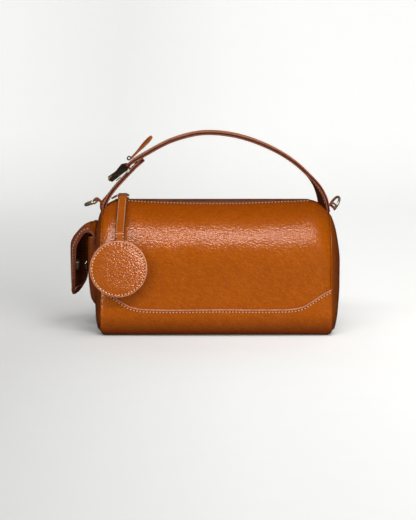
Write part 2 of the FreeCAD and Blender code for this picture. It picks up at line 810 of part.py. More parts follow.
def make_buckle():
    """Forked buckle frame, its bar and the prong that rests on the far bridge."""
    slope = math.radians(size("frame_slope"))
    along = Vector(math.cos(slope), 0, math.sin(slope))
    turn = Rotation(along, -Y_WAY, along.cross(-Y_WAY), "XYZ")
    place = Placement(handle_point(BUCKLE_SHARE), turn)
    length = size("frame_length")
    low = size("frame_low")
    tip = size("frame_tip")
    tall = size("frame_tall")
    inner_half = size("handle_half_width") + size("frame_side_gap")

    frame = new_body("buckle_frame", place)
    outline = [
        Vector(-low / 2, -low, 0),
        Vector(length, -tip, 0),
        Vector(length, tip, 0),
        Vector(low, tall, 0),
        Vector(-low, low, 0),
        Vector(-low, -low / 2, 0),
    ]
    cheeks = new_sketch(frame, "frame_outline", "XZ_Plane", polygon(outline))
    width = "2 * (Sizes.handle_half_width + Sizes.frame_side_gap + Sizes.frame_side)"
    pad(frame, "frame_pad", cheeks, width, True)
    doc.recompute()
    window = [
        Vector(-length, -inner_half, 0),
        Vector(length - size("frame_bridge"), -inner_half, 0),
        Vector(length - size("frame_bridge"), inner_half, 0),
        Vector(-length, inner_half, 0),
    ]
    opening = new_sketch(frame, "frame_window", "XY_Plane", polygon(window))
    pocket = frame.newObject("PartDesign::Pocket", "frame_pocket")
    pocket.Profile = opening
    pocket.Type = "ThroughAll"
    pocket.Midplane = True

    bar = doc.addObject("Part::Cylinder", "buckle_bar")
    bar.Label = "buckle_bar"
    bar.setExpression("Radius", "Sizes.bar_radius")
    bar.setExpression("Height", "2 * (Sizes.handle_half_width + Sizes.frame_side_gap)")
    bar.Placement = Placement(place.Base - Y_WAY * inner_half, Rotation(Z_WAY, Y_WAY))
    sub_parts.append(bar)

    half = size("prong_half_width")
    thick = size("prong_thickness")
    hole = size("bar_radius") + size("bar_clearance")
    curl = hole + thick
    finger = [
        Vector(0, 0, hole),
        Vector(size("prong_length"), 0, size("prong_lift")),
        Vector(size("prong_length"), 0, size("prong_lift") + thick),
        Vector(0, 0, curl),
        Vector(0, 0, hole),
    ]
    prong = Part.Face(Part.makePolygon(finger)).extrude(Y_WAY * (2 * half))
    prong.translate(Y_WAY * -half)
    prong = prong.fuse(rod(Y_WAY * -half, Y_WAY, curl, 2 * half))
    prong = prong.cut(rod(Y_WAY * -half, Y_WAY, hole, 2 * half))
    add_shape("buckle_prong", prong, place)


make_buckle()


def make_side_rings():
    """Leather loops at both ends of the crown and the rings that swing in them."""
    half = size("d_ring_half_width")
    reach = size("d_ring_reach")
    corner = size("d_ring_corner")
    corners = [Vector(-half, 0, 0), Vector(half, 0, 0), Vector(half, reach, 0), Vector(-half, reach, 0)]
    radii = [corner, corner, half - corner / 2, half - corner / 2]
    hole = size("d_ring_wire") + size("bar_clearance")
    loop_radius = hole + size("tab_leather")
    width = 2 * size("tab_half_width")
    for name, side in (("left", -1), ("right", 1)):
        out = size("body_half_length") + size(name + "_ring_stand")
        centre = Vector(side * out, 0, size("body_height") - size(name + "_ring_drop"))
        slope = math.radians(size(name + "_ring_slope"))
        way = Vector(math.cos(slope), 0, math.sin(slope))
        turn = Rotation(Y_WAY, way, Y_WAY.cross(way), "XYZ")
        wire_ring(name + "_d_ring", corners, radii, "d_ring_wire", Placement(centre, turn))

        start = centre - Y_WAY * size("tab_half_width")
        inner_x = centre.x - side * loop_radius
        outer_x = inner_x + side * size("tab_tail")
        low = min(inner_x, outer_x)
        high = max(inner_x, outer_x)
        tail = block(low, high, -width / 2, width / 2, centre.z - size("tab_drop"), centre.z)
        loop = rod(start, Y_WAY, loop_radius, width).fuse(tail)
        loop = loop.cut(rod(start, Y_WAY, hole, width)).cut(end_shells[name])
        add_shape(name + "_ring_tab", loop)


make_side_rings()


def shield(half_width, low, high, corner, low_x, high_x):
    """Block with an outline that is rounded at its lower corners, seen from the end of the bag."""
    diagonal = corner * (1 - math.sqrt(0.5))
    runs = [
        Part.LineSegment(Vector(low_x, corner - half_width, low), Vector(low_x, half_width - corner, low)),
        Part.Arc(
            Vector(low_x, half_width - corner, low),
            Vector(low_x, half_width - diagonal, low + diagonal),
            Vector(low_x, half_width, low + corner),
        ),
        Part.LineSegment(Vector(low_x, half_width, low + corner), Vector(low_x, half_width, high)),
        Part.LineSegment(Vector(low_x, half_width, high), Vector(low_x, -half_width, high)),
        Part.LineSegment(Vector(low_x, -half_width, high), Vector(low_x, -half_width, low + corner)),
        Part.Arc(
            Vector(low_x, -half_width, low + corner),
            Vector(low_x, diagonal - half_width, low + diagonal),
            Vector(low_x, corner - half_width, low),
        ),
    ]
    face = Part.Face(Part.Wire([run.toShape() for run in runs]))
    return face.extrude(X_WAY * (high_x - low_x))


def make_pocket():
    """Side pocket on the left gusset, its flap and the snap that closes it."""
    face = size("body_half_length") + size("pocket_stand")
    height = size("body_height")
    top = height * size("pocket_top_share")
    wall = size("pocket_wall")
    half = size("pocket_half_width")
    inner_x = -size("body_half_length")

    def pocket_block(inset, lift):
        outline = [Vector(-face * share[0] + inset, -far, top * share[1]) for share in POCKET_SHARES]
        curve = Part.BSplineCurve()
        curve.interpolate(outline)
        ceiling = top + lift
        points = [outline[-1], Vector(inner_x, -far, outline[-1].z), Vector(inner_x, -far, ceiling)]
        points = points + [Vector(outline[0].x, -far, ceiling), outline[0]]
        edges = [curve.toShape()]
        for start, end in zip(points, points[1:]):
            if start.distanceToPoint(end) > 0:
                edges.append(Part.LineSegment(start, end).toShape())
        profile = Part.Face(Part.Wire(Part.__sortEdges__(edges)))
        slab = profile.extrude(Y_WAY * (2 * far))
        corner = size("pocket_corner") - inset
        low = height * size("pocket_bottom_share") + inset
        return slab.common(shield(half - inset, low, above, corner, -far, inner_x))

    pouch = pocket_block(0, 0).cut(pocket_block(wall, size("overrun"))).cut(end_shells["left"])
    add_shape("side_pocket", pouch)

    axis_out = size("body_half_length") + size("flap_axis_stand")
    axis = Vector(-axis_out, 0, height * size("flap_axis_share"))
    flap_low = height * size("flap_bottom_share")
    drop = axis.z - flap_low
    path = [axis + Vector(-share[0] * size("flap_reach"), 0, share[1] * drop) for share in FLAP_SHARES]
    leather = size("flap_leather")
    flap_half = size("flap_half_width")
    outline = shield(flap_half, flap_low, above, size("flap_corner"), -2 * far, 0)
    inner = ribbon(path, -Y_WAY, flap_half, -leather, 0).common(outline)
    outer = ribbon(path, -Y_WAY, flap_half, 0, leather).common(outline)
    round_end = rod(axis - Y_WAY * flap_half, Y_WAY, leather, 2 * flap_half)
    outer = outer.fuse(round_end.cut(inner))
    add_shape("pocket_flap", outer)
    add_shape("flap_lining", inner)
    root_low = axis.z + leather + size("fit_gap")
    root = block(axis.x, inner_x, -flap_half, flap_half, root_low, root_low + size("flap_root_height"))
    thicker = dome(-1, size("pocket_end_bulge") + leather, gusset_start, panel_top - leather)
    add_shape("flap_root", root.common(thicker).cut(end_shells["left"]))

    snap_z = height * size("snap_share")
    radius = size("snap_radius")
    base = rod(Vector(-face, 0, snap_z), -X_WAY, radius, size("snap_base"))
    post_length = size("snap_base") + size("snap_post")
    base = base.fuse(rod(Vector(-face, 0, snap_z), -X_WAY, size("snap_post_radius"), post_length))
    add_shape("snap_stud", base)
    place, way = on_curve(path, Vector(path[-2].x, 0, snap_z), -Y_WAY)
    socket = rod(place - way * leather, way * -1, radius, size("snap_socket"))
    socket = socket.cut(rod(place - way * leather, way * -1, size("snap_socket_hole"), size("snap_socket")))
    add_shape("snap_socket", socket.cut(inner).cut(outer))


make_pocket()
doc.recompute()

for item in doc.Objects:
    for state in ("Invalid", "Error"):
        if state in item.State:
            raise RuntimeError(f"{item.Label} is {state}")
for part in sub_parts:
    if part.Shape.isNull() or not part.Shape.isValid() or not part.Shape.Solids:
        raise RuntimeError(f"{part.Label} has no valid solid")

os.makedirs("parts", exist_ok=True)
for part in sub_parts:
    part.Shape.exportStep(os.path.join("parts", part.Label + ".step"))
    solids = len(part.Shape.Solids)
    print(f"{part.Label}: {solids} solid(s), {part.Shape.Volume:.1f} mm3")
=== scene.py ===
"""Pillow bag in tan leather: soft pieces, stitching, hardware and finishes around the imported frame."""
import bpy
import bmesh
import json
import math
from mathutils import Matrix, Vector, noise

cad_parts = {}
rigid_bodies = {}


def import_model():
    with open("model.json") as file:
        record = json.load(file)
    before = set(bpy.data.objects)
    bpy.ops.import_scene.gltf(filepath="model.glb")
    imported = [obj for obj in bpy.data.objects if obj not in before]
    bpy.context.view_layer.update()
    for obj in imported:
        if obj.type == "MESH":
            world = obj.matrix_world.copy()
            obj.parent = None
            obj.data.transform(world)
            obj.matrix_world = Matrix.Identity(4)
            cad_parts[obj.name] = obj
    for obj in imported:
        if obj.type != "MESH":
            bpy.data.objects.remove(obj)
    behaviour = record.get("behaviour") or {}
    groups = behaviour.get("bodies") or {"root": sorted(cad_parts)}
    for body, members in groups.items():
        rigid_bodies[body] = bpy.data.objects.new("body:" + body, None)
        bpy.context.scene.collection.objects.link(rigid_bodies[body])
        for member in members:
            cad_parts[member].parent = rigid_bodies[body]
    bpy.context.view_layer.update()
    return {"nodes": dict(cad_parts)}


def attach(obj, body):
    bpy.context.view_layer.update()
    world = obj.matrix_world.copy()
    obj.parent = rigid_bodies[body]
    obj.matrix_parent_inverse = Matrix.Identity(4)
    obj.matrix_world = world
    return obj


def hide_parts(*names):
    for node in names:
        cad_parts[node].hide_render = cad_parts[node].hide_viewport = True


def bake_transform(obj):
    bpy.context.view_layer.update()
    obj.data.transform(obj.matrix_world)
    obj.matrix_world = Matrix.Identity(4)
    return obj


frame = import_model()

# Lengths are in millimetres until piece() scales them. Materials and the studio are in metres.
MM = 0.001
X_WAY = Vector((1, 0, 0))
Y_WAY = Vector((0, 1, 0))
Z_WAY = Vector((0, 0, 1))

# Barrel of the bag: shares of half length, half depth and height at its stations
HALF_LENGTH = 112.0
PANEL_HALF = 111.2
HALF_DEPTH = 60.0
HEIGHT = 128.0
ARCH_Z = HEIGHT - HALF_DEPTH
BARREL_MIDDLE = Vector((0.0, 0.0, 60.0))
CORNER = 8.0
STATIONS = [
    (-1.0, 0.87, 0.94), (-0.96, 0.9, 0.972), (-0.9, 0.935, 0.995), (-0.75, 0.968, 1.0),
    (-0.4, 0.993, 1.0), (0.0, 1.0, 1.0), (0.4, 0.994, 1.0), (0.72, 0.973, 1.0),
    (0.86, 0.946, 0.992), (0.94, 0.915, 0.96), (1.0, 0.87, 0.908),
]
PANEL_INSET = 1.0
PANEL_WALL = 1.4
BASE_WALL = 0.95
OVERLAP = 5.0
ROUND_EDGE = 0.35

# Softness of the filled bag: waves of the leather, lift and spread of the base, rounding of its lower ends
SLOW_WAVE = 0.55
QUICK_WAVE = 0.22
BASE_LIFT = 0.6
BASE_HALF_DEPTH = 60.5
BASE_SPREAD = 1.5
FOOT_ROUND = 7.0

# Base overlay: rise of its top edge by shares of the half length
OVERLAY_EDGE = [(0.0, 0.0), (0.62, 0.0), (0.74, 0.12), (0.82, 0.38), (0.92, 0.77), (1.0, 1.0)]
OVERLAY_HEIGHT = 26.0
OVERLAY_RISE = 18.4
OVERLAY_BEAD = (0.7, 0.75)
OVERLAY_BEAD_DROP = 0.1
OVERLAY_BEAD_INSET = 0.25
OVERLAY_SEAM = 2.1

# Domes of the two ends: share of the way in from the seam, share of the bulge
LEFT_BULGE = 8.8
RIGHT_BULGE = 12.4
DOME = [(0.0, 0.0), (0.03, 0.14), (0.1, 0.3), (0.23, 0.5), (0.4, 0.68), (0.7, 0.9), (0.93, 1.0)]
DOME_REACH = 0.93
DOME_SPREAD = 0.85
DOME_LEAST = 1.2
LEFT_SLACK = 1.6
WELT_CORD = (0.6, 0.75)
WELT_INSET = 0.5
WELT_OUT = 0.3

# Inside
LINING_INSET = 4.2
LINING_HALF = 110.0
LINING_SLOT_HALF = 7.0
LINING_CORNER = 3.0
LINING_WALL = 0.6
LINING_SLOT = (-97.0, 89.0)
SLIP_POCKET_ENDS = (-45.0, 45.0)
SLIP_POCKET_HEIGHTS = (38.0, 88.0)
SLIP_POCKET_INSET = 5.0
SLIP_POCKET_WALL = 0.5

# Zip: the slot gapes in the middle, where its front lip hangs lower
SLOT_HALF = 5.0
SLOT_GAPE = 5.5
SLOT_REACH = 92.0
LIP_REACH = 98.0
LIP_SAG = 1.6
LIP_SAG_DEGREES = 12.0
TAPE_DEPTH = 2.3
TAPE_ENDS = (-106.0, 98.0)
TAPE_EDGES = (0.7, 13.8)
TAPE_WALL = 0.5
TAPE_SAG_WIDTH = 9.0
PATCHES = [("left", -PANEL_HALF, -101.6), ("right", 93.9, PANEL_HALF)]
PATCH_DEGREES = (-8.0, 8.0)
PATCH_WALL = 1.3
ZIP_SEAM_ENDS = (-94.0, 92.0)
ZIP_SEAM = 2.6
ZIP_SEAM_GAPE = 2.4
ZIP_SEAM_SAG = 0.9

# Pull ring, tag and the tag's strap; the disc's profile is (in from the rim, out from the disc's inner face)
SLIDER_X = -92.0
RING_FOLD = Vector((SLIDER_X, -8.6, 131.35))
PULL_RING = [
    (-97.4, -8.4, 131.35), (-92.0, -8.6, 131.35), (-87.2, -8.0, 131.4), (-87.0, -4.0, 131.9),
    (-91.5, 0.6, 132.3), (-98.0, -0.4, 131.0), (-102.8, -2.6, 128.6), (-102.4, -6.0, 128.8),
]
PULL_RING_WIRE = 0.85
TAG_RADIUS = 27.6
TAG_Z = 67.0
TAG_SEAT = 60.6
TAG_TURN_SHARE = 0.8
TAG_LEATHER = 1.8
TAG_PROFILE = [
    (1.2, 0.0), (0.3, 0.0), (0.0, 0.4), (0.0, TAG_LEATHER - 0.7), (0.25, TAG_LEATHER - 0.25), (0.8, TAG_LEATHER),
    (2.0, TAG_LEATHER - 0.12), (2.4, TAG_LEATHER - 0.25), (3.6, TAG_LEATHER - 0.05), (6.0, TAG_LEATHER + 0.25),
    (11.0, TAG_LEATHER + 0.5), (17.0, TAG_LEATHER + 0.65), (22.6, TAG_LEATHER + 0.7),
]
TAG_PAINTED = 0.75
TAG_SEAM_LIFT = TAG_LEATHER - 0.2
STIFFENER_RADIUS = TAG_RADIUS - 4.0
STIFFENER_HALF = 0.5
TAG_SEAM = TAG_RADIUS - 2.2
TAG_LEAN = math.radians(4.0)
TAG_OFFSET = 1.6
TAG_TURN = math.radians(6.0)
STRAP_LEATHER = 1.5
TAG_STRAP_HALF = 4.6
TAG_STRAP_DRAPE = HALF_DEPTH + 1.7
TAG_STRAP_DEGREES = (18.0, 28.0, 37.0)
TAG_STRAP_START = 1.1
TAG_STRAP_ABOVE = 6.9
TAG_STRAP_INTO = 5.0
TAG_STRAP_SEAM = 3.3
TAG_STRAP_SEAM_LIFT = 1.55
TAG_STRAP_STITCH = {"pitch": 2.9, "length": 1.25, "thick": 0.44}
TAG_STRAP_UPPER = (-0.02, 1.5)
TAG_STRAP_UNDER = (-1.5, -0.04)
TAG_STRAP_FOLD = (-0.75, 0.75)
TAG_FOLD_RADIUS = 1.15

# Handle, anchor strap and tongue: shares of the half length, and of the rise above the crown
HANDLE_RISE = 65.2
HANDLE_HALF = 11.5
HANDLE_SEAM = HANDLE_HALF - 2.2
HANDLE_SEAM_LIFT = 1.85
HANDLE_LAYERS = ((0.03, 1.8), (-1.8, -0.03))
ANCHOR_LAYERS = ((0.03, 1.9), (-1.9, -0.03))
EDGE_SEAMS = ((-0.2, 0.75), (-0.75, 0.2))
HANDLE_TWIST = math.radians(-19.0)
ANCHOR_TWIST = math.radians(14.0)
TONGUE_TWIST = math.radians(21.0)
TONGUE_HALF = 4.6
TONGUE_LAYER = (-0.8, 0.8)
HANDLE = [
    (-0.798, 0.449), (-0.75, 0.545), (-0.62, 0.682), (-0.407, 0.873), (-0.195, 0.98), (-0.027, 1.0),
    (0.179, 0.954), (0.388, 0.841), (0.601, 0.66), (0.761, 0.454), (0.883, 0.222), (0.942, 0.008),
    (0.962, -0.2),
]
ANCHOR = [
    (-0.975, -0.26), (-1.005, -0.12), (-0.979, -0.037), (-0.9125, 0.125), (-0.82, 0.302), (-0.727, 0.465),
    (-0.642, 0.592),
]
TONGUE = [(-0.752, 0.604), (-0.7, 0.7), (-0.64, 0.812), (-0.566, 0.943)]
# Body and height, in metres, given for the straps' crossing; piece() reads only that it is given, and then leaves the
# strap in place on no body
CROSSING = ("handle", (0.0, 0.0, 0.122), (0.0, 0.0, 0.142))

# Buckle
BAR = Vector((-89.376, 0.0, 158.579))
FOLD_MIDDLE = 7.05
FOLD_HALF = 4.4
FOLD_RADIUS = 1.62
FOLD_LEATHER = 1.55
BUCKLE_SLOPE = math.radians(41.0)
BUCKLE_ROUND = 0.7

# Side rings: the right one hangs a little turned in its tab. Tabs: name, bar, side, radius of the loop, half width
RIGHT_BAR = Vector((115.9, 0.0, 119.8))
RIGHT_SLOPE = math.radians(57.0)
RING_TURN = math.radians(13.0)
RING_HALF = [(0.0, 0.0), (6.2, 0.0), (8.5, 0.8), (9.0, 3.2), (7.7, 7.0), (4.4, 10.1)]
RING_REACH = 11.0
RING_WIRE = 1.3
TAB_LEATHER = 1.45
TAB_DEGREES = (-70.0, 132.0)
TAB_TAIL = (2.5, 5.0, 7.5, 10.0)
TABS = [("left", Vector((-119.0, 0.0, 125.3)), -1, 1.75, 6.0), ("right", RIGHT_BAR, 1, 2.5, 4.9)]

# Side pocket and flap: curves down the flap's front edge, its middle and its back edge
POCKET_PROFILE = [(0.2, 0.95), (0.3, 0.975), (0.54, 0.996), (0.75, 1.0), (1.0, 0.998)]
POCKET_MIDDLE = Vector((-116.0, 0.0, 60.0))
POCKET_FACE = 126.4
POCKET_SEAT = 113.6
POCKET_TOP = 93.0
POCKET_BOTTOM = 20.0
POCKET_HALF = 26.0
POCKET_CORNER = 14.0
POCKET_EDGE = 5.5
POCKET_TUCK = 4.5
FLAP_HALF = 28.0
FLAP_CORNER = 20.0
FLAP_LOW = 33.0
FLAP_SEAM = 3.0
FLAP_FACE = 1.5
FLAP_BACK = (-1.45, -0.02)
FLAP_FLAT = 0.55
FLAP_EDGE = 0.7
FLAP_NEAR = [(-123.4, 98.6), (-130.3, 96.2), (-137.2, 84.3), (-138.5, 74.7), (-139.7, 47.3), (-139.9, 33.5)]
FLAP_MIDDLE = [(-123.6, 103.6), (-131.4, 99.8), (-141.2, 88.0), (-142.6, 76.0), (-141.8, 50.0), (-140.8, 32.8)]
FLAP_FAR = [(-123.4, 98.6), (-127.6, 95.0), (-130.3, 84.0), (-130.6, 74.0), (-131.2, 46.5), (-133.0, 33.5)]
ROOT_TOP = 106.0
ROOT_DROP = 14.6
ROOT_SEWN = 0.4
ROOT_LIFT = 0.6
ROOT_SEAM = Vector((0.3, 0.0, 5.0))
ROOT_BULGE = 1.2

STITCH_PITCH = 3.2
STITCH_LENGTH = 1.9
STITCH_THICK = 0.52
STITCH_SLANT = 0.12
SHARP_ANGLE = math.radians(38.0)

# Studio
FLOOR_TONE = 0.85
# Painted light of the paper: its glow where it rises, and a pool of light to the right of the bag.
PAINTED_GLOW = 0.28
PAINTED_POOL_LIGHT = 0.18
WARM_WHITE = 0.985
AIM = Vector((0.0, 0.0, 0.07))
CAMERA_AIM = Vector((-0.008, 0.0, 0.066))
CAMERA_TILT = math.radians(8.0)
CAMERA_AWAY = 1.5


# Numbers and curves

def clamp(value, low, high):
    """Value kept between two limits."""
    return max(low, min(high, value))


def ease(value):
    """Smooth step from 0 to 1."""
    value = clamp(value, 0.0, 1.0)
    return value * value * (3 - 2 * value)


def bow(x, reach):
    """Bow that is 1 in the middle of the bag and 0 from its reach on."""
    return max(1 - (x / reach) ** 2, 0.0)


def between(first, second, count):
    """Evenly spread numbers, both ends included."""
    return [first + (second - first) * step / (count - 1) for step in range(count)]


def turns(first, second, count):
    """Evenly spread angles in radians between two in degrees."""
    return [math.radians(degrees) for degrees in between(first, second, count)]


def circle(centre, across, up, count):
    """Points round a centre; the two directions carry the radius."""
    angles = [2 * math.pi * step / count for step in range(count)]
    return [centre + across * math.cos(angle) + up * math.sin(angle) for angle in angles]


def along_rows(rows, place):
    """Values of a table at a place, on a smooth curve through its rows."""
    last = len(rows) - 1
    index = 0
    while index < last - 1 and place > rows[index + 1][0]:
        index += 1
    first, second = rows[index], rows[index + 1]
    before = rows[max(index - 1, 0)]
    after = rows[min(index + 2, last)]
    span = second[0] - first[0]
    share = clamp((place - first[0]) / span, 0.0, 1.0)
    cube, square = share ** 3, share ** 2
    values = []
    for column in range(1, len(first)):
        start_slope = (second[column] - before[column]) / max(second[0] - before[0], span) * span
        end_slope = (after[column] - first[column]) / max(after[0] - first[0], span) * span
        values.append(
            (2 * cube - 3 * square + 1) * first[column] + (cube - 2 * square + share) * start_slope
            + (3 * square - 2 * cube) * second[column] + (cube - square) * end_slope
        )
    return values


def spline(points, count):
    """Evenly spread points and directions on a smooth curve through some points."""
    marks = [0.0]
    for start, end in zip(points, points[1:]):
        marks.append(marks[-1] + (end - start).length)
    rows = [(mark, *point) for mark, point in zip(marks, points)]
    places = [Vector(along_rows(rows, marks[-1] * step / (count - 1))) for step in range(count)]
    ways = []
    for index in range(count):
        ways.append((places[min(index + 1, count - 1)] - places[max(index - 1, 0)]).normalized())
    return places, ways


# Form of the barrel

def station(x):
    """Half depth and height of the barrel at a place along its length."""
    depth_share, height_share = along_rows(STATIONS, clamp(x / PANEL_HALF, -1.0, 1.0))
    return depth_share * HALF_DEPTH, height_share * HEIGHT


def softened(point):
    """A point of the leather barrel moved by the soft undulations of a filled bag."""
    away = Vector((0.0, point.y, point.z - ARCH_Z))
    if away.length < 1.0:
        return point
    slow = noise.noise(point * 0.018 + Vector((3.1, 7.7, 1.3)))
    quick = noise.noise(point * 0.045 + Vector((9.2, 0.4, 5.6)))
    middle = 1 - (clamp(abs(point.x), 0.0, HALF_LENGTH) / HALF_LENGTH) ** 2
    moved = point + away.normalized() * (SLOW_WAVE * slow + QUICK_WAVE * quick) * ease(point.z / 12.0)
    moved.z += BASE_LIFT * middle * (1 - ease(point.z / 10.0))
    spread_share = (BASE_HALF_DEPTH + BASE_SPREAD * middle) / station(point.x)[0] - 1
    moved.y *= 1 + spread_share * (1 - ease(point.z / 60.0))
    foot = max(FOOT_ROUND - max(point.z, 0.0), 0.0)
    tuck = FOOT_ROUND - math.sqrt(FOOT_ROUND * FOOT_ROUND - foot * foot)
    moved.x -= math.copysign(tuck, point.x) * ease((abs(point.x) - 98.0) / 10.0)
    return moved


def slot_edge(x):
    """Half width of the zip opening."""
    return SLOT_HALF + SLOT_GAPE * bow(x, SLOT_REACH)


def crown(x, degrees, inset=0.0):
    """Point on the round top; 0 degrees is the crest and 90 the front."""
    half_depth, height = station(x)
    angle = math.radians(degrees)
    radius = half_depth - inset
    return Vector((x, -radius * math.sin(angle), height - half_depth + radius * math.cos(angle)))


def crown_degrees(x, away):
    """Degrees on the round top at a distance from the bag's middle plane."""
    return math.degrees(math.asin(away / (station(x)[0] - PANEL_INSET)))


def upright(x, z, inset=0.0, front=1):
    """Point on the upright front or back."""
    return Vector((x, -front * (station(x)[0] - inset), z))


def mirrored(points):
    """A profile from the front to the middle plane, carried on to the back."""
    return points + [Vector((point.x, -point.y, point.z)) for point in points[-2::-1]]


def overlay_top(x):
    """Height of the top edge of the base overlay."""
    share = along_rows(OVERLAY_EDGE, clamp(abs(x) / HALF_LENGTH, 0.0, 1.0))[0]
    return OVERLAY_HEIGHT + OVERLAY_RISE * share


def round_section(half_depth, height, inset, crown_steps=14):
    """Closed outline of the barrel as (y, z), from the crest over the front and round."""
    side = half_depth - inset
    middle = height - half_depth
    corner = min(max(CORNER - inset, 1.6), side * 0.9)
    front = [(-side * math.sin(angle), middle + side * math.cos(angle)) for angle in turns(0.0, 90.0, crown_steps)]
    front += [(-side, z) for z in between(middle, inset + corner, 8)[1:]]
    for angle in turns(0.0, 90.0, 5)[1:]:
        front.append((corner - side - corner * math.cos(angle), inset + corner - corner * math.sin(angle)))
    front += [(y, inset) for y in between(corner - side, 0.0, 6)[1:]]
    return front + [(-y, z) for y, z in front[-2:0:-1]]


def dome_out(side, share):
    """Distance of an end's face from the middle of the bag; share 0 is at the seam."""
    rise = clamp(along_rows(DOME, share)[0], 0.0, 1.0)
    if side > 0:
        return PANEL_HALF + RIGHT_BULGE * rise
    return PANEL_HALF + LEFT_BULGE * (1 - (1 - rise) ** LEFT_SLACK)


def gusset_out(y, z):
    """Distance of the left gusset's face from the middle of the bag."""
    half_depth, height = station(-HALF_LENGTH)
    inset = half_depth - math.sqrt(y * y + max(z - (height - half_depth), 0.0) ** 2)
    return dome_out(-1, clamp((inset - PANEL_INSET) / half_depth, 0.0, DOME_REACH))


# Meshes

def extruded_row(bm, row, edges, places):
    """Extrudes a row of vertices once and puts the new row at its places."""
    made = bmesh.ops.extrude_edge_only(bm, edges=edges)["geom"]
    fresh = {item for item in made if isinstance(item, bmesh.types.BMVert)}
    new_row = []
    for vertex, place in zip(row, places):
        new_row.append(next(edge.other_vert(vertex) for edge in vertex.link_edges if edge.other_vert(vertex) in fresh))
        new_row[-1].co = place
    new_edges = [bm.edges.get((start, end)) for start, end in zip(new_row, new_row[1:])]
    if len(edges) == len(row):
        new_edges.append(bm.edges.get((new_row[-1], new_row[0])))
    return new_row, new_edges


def skin(bm, rows, ring=False, tube=False, caps=False, paint=()):
    """Surface through rows of points; paint numbers the faces of each row that take the second material."""
    row = [bm.verts.new(place) for place in rows[0]]
    edges = [bm.edges.new(pair) for pair in zip(row, row[1:])]
    if ring:
        edges.append(bm.edges.new((row[-1], row[0])))
    start_edges = edges
    for places in rows[1:]:
        old_row = row
        row, edges = extruded_row(bm, row, edges, places)
        for index in paint:
            following = (index + 1) % len(row)
            bm.faces.get((old_row[index], old_row[following], row[following], row[index])).material_index = 1
    if tube:
        bmesh.ops.bridge_loops(bm, edges=start_edges + edges)
    if caps:
        for loop in (start_edges, edges):
            bmesh.ops.contextual_create(bm, geom=loop)


def outwards(bm, centre=None):
    """Turns the faces of a closed mesh outwards, or those of a sheet away from a point."""
    if centre is None:
        bmesh.ops.recalc_face_normals(bm, faces=bm.faces)
        return
    bm.normal_update()
    towards = sum((face.normal.dot(face.calc_center_median() - centre) * face.calc_area()) for face in bm.faces)
    if towards < 0:
        bmesh.ops.reverse_faces(bm, faces=bm.faces)


def sheet(rows, centre=BARREL_MIDDLE):
    """Open sheet through rows of points, facing away from a centre."""
    bm = bmesh.new()
    skin(bm, rows)
    outwards(bm, centre)
    return bm


def hose(rows, joined=False, paint=()):
    """Closed body through rings of points, joined end to end or capped."""
    bm = bmesh.new()
    skin(bm, rows, ring=True, tube=joined, caps=not joined, paint=paint)
    outwards(bm)
    return bm


def piece(bm, name, body, slot, finishes, nodes=(), blend_to=None, wall=0.0, rim=None, round_edge=0.0):
    """Finishes a mesh that was made in millimetres as a named piece, put on a body unless blend_to is given, which
    leaves it in place on no body.
    """
    bmesh.ops.scale(bm, vec=(MM, MM, MM), verts=bm.verts)
    mesh = bpy.data.meshes.new(name)
    bm.to_mesh(mesh)
    bm.free()
    for finish in finishes:
        mesh.materials.append(finish)
    mesh.shade_smooth()
    mesh.set_sharp_from_angle(angle=SHARP_ANGLE)
    made = bpy.data.objects.new(name, mesh)
    bpy.context.scene.collection.objects.link(made)
    if wall:
        thick = made.modifiers.new("wall", "SOLIDIFY")
        thick.thickness = wall * MM
        thick.offset = -1.0
        thick.use_even_offset = True
        if rim is not None:
            thick.material_offset_rim = rim
    if round_edge:
        soft = made.modifiers.new("edge", "BEVEL")
        soft.width = round_edge * MM
        soft.segments = 2
        soft.limit_method = "ANGLE"
        soft.angle_limit = math.radians(50)
    if blend_to:
        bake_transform(made)
    else:
        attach(made, body)
    if nodes:
        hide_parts(*nodes)


def leather(bm, name, node_name=None, finish=None, body="bag", **options):
    """Leather piece with painted edges."""
    finishes = [finish or leather_body, options.pop("edge", edge_paint)]
    piece(bm, name, body, "tan_leather", finishes, [node_name] if node_name else (), **options)


def stitches(bm, name, body="bag", **options):
    """Sewn thread and its needle holes."""
    piece(bm, name, body, "edge_leather", [thread, needle_hole], **options)


def strap_outline(half_width, low, high, swell=0.0, rows=5):
    """Section of a strap as (across, up) with rounded edges, and the numbers of its painted sides."""
    edge = min((high - low) * 0.45, 0.7)
    points = []
    for across in between(-1.0, 1.0, rows):
        points.append((across * (half_width - edge), high + swell * (1 - across * across)))
    for angle in turns(30.0, 60.0, 2):
        points.append((half_width - edge + edge * math.sin(angle), high - edge + edge * math.cos(angle)))
    points.append((half_width, high - edge))
    points.append((half_width, low + edge))
    for angle in turns(60.0, 30.0, 2):
        points.append((half_width - edge + edge * math.sin(angle), low + edge - edge * math.cos(angle)))
    lower = [(-across, low) for across, up in points[:rows]]
    side = [(-across, up) for across, up in points[rows:]]
    points = points + lower + side[::-1]
    painted = set(range(rows - 1, rows + 6)) | set(range(len(points) - 7, len(points)))
    return points, painted


def frames_on(points, count, across=Y_WAY, twist=None):
    """Frames (place, across, up) along a curve; up is square to the curve."""
    places, ways = spline(points, count)
    frames = []
    for index, (place, way) in enumerate(zip(places, ways)):
        up = way.cross(across).normalized()
        side = across.copy()
        if twist:
            turn = Matrix.Rotation(twist(index / (count - 1)), 3, way)
            up = turn @ up
            side = turn @ side
        frames.append((place, side, up))
    return frames


def carried(frames, outline, taper=None):
    """Rows of points: an outline carried along frames, its width tapered by the share of the way."""
    rows = []
    for index, (place, side, up) in enumerate(frames):
        share = taper(index / (len(frames) - 1)) if taper else 1.0
        rows.append([place + side * (point[0] * share) + up * point[1] for point in outline])
    return rows


def banded(frames, half_width, low, high, swell=0.1):
    """Body of a strap along frames, with its sides marked for edge paint."""
    outline, painted = strap_outline(half_width, low, high, swell)
    return hose(carried(frames, outline), paint=painted)


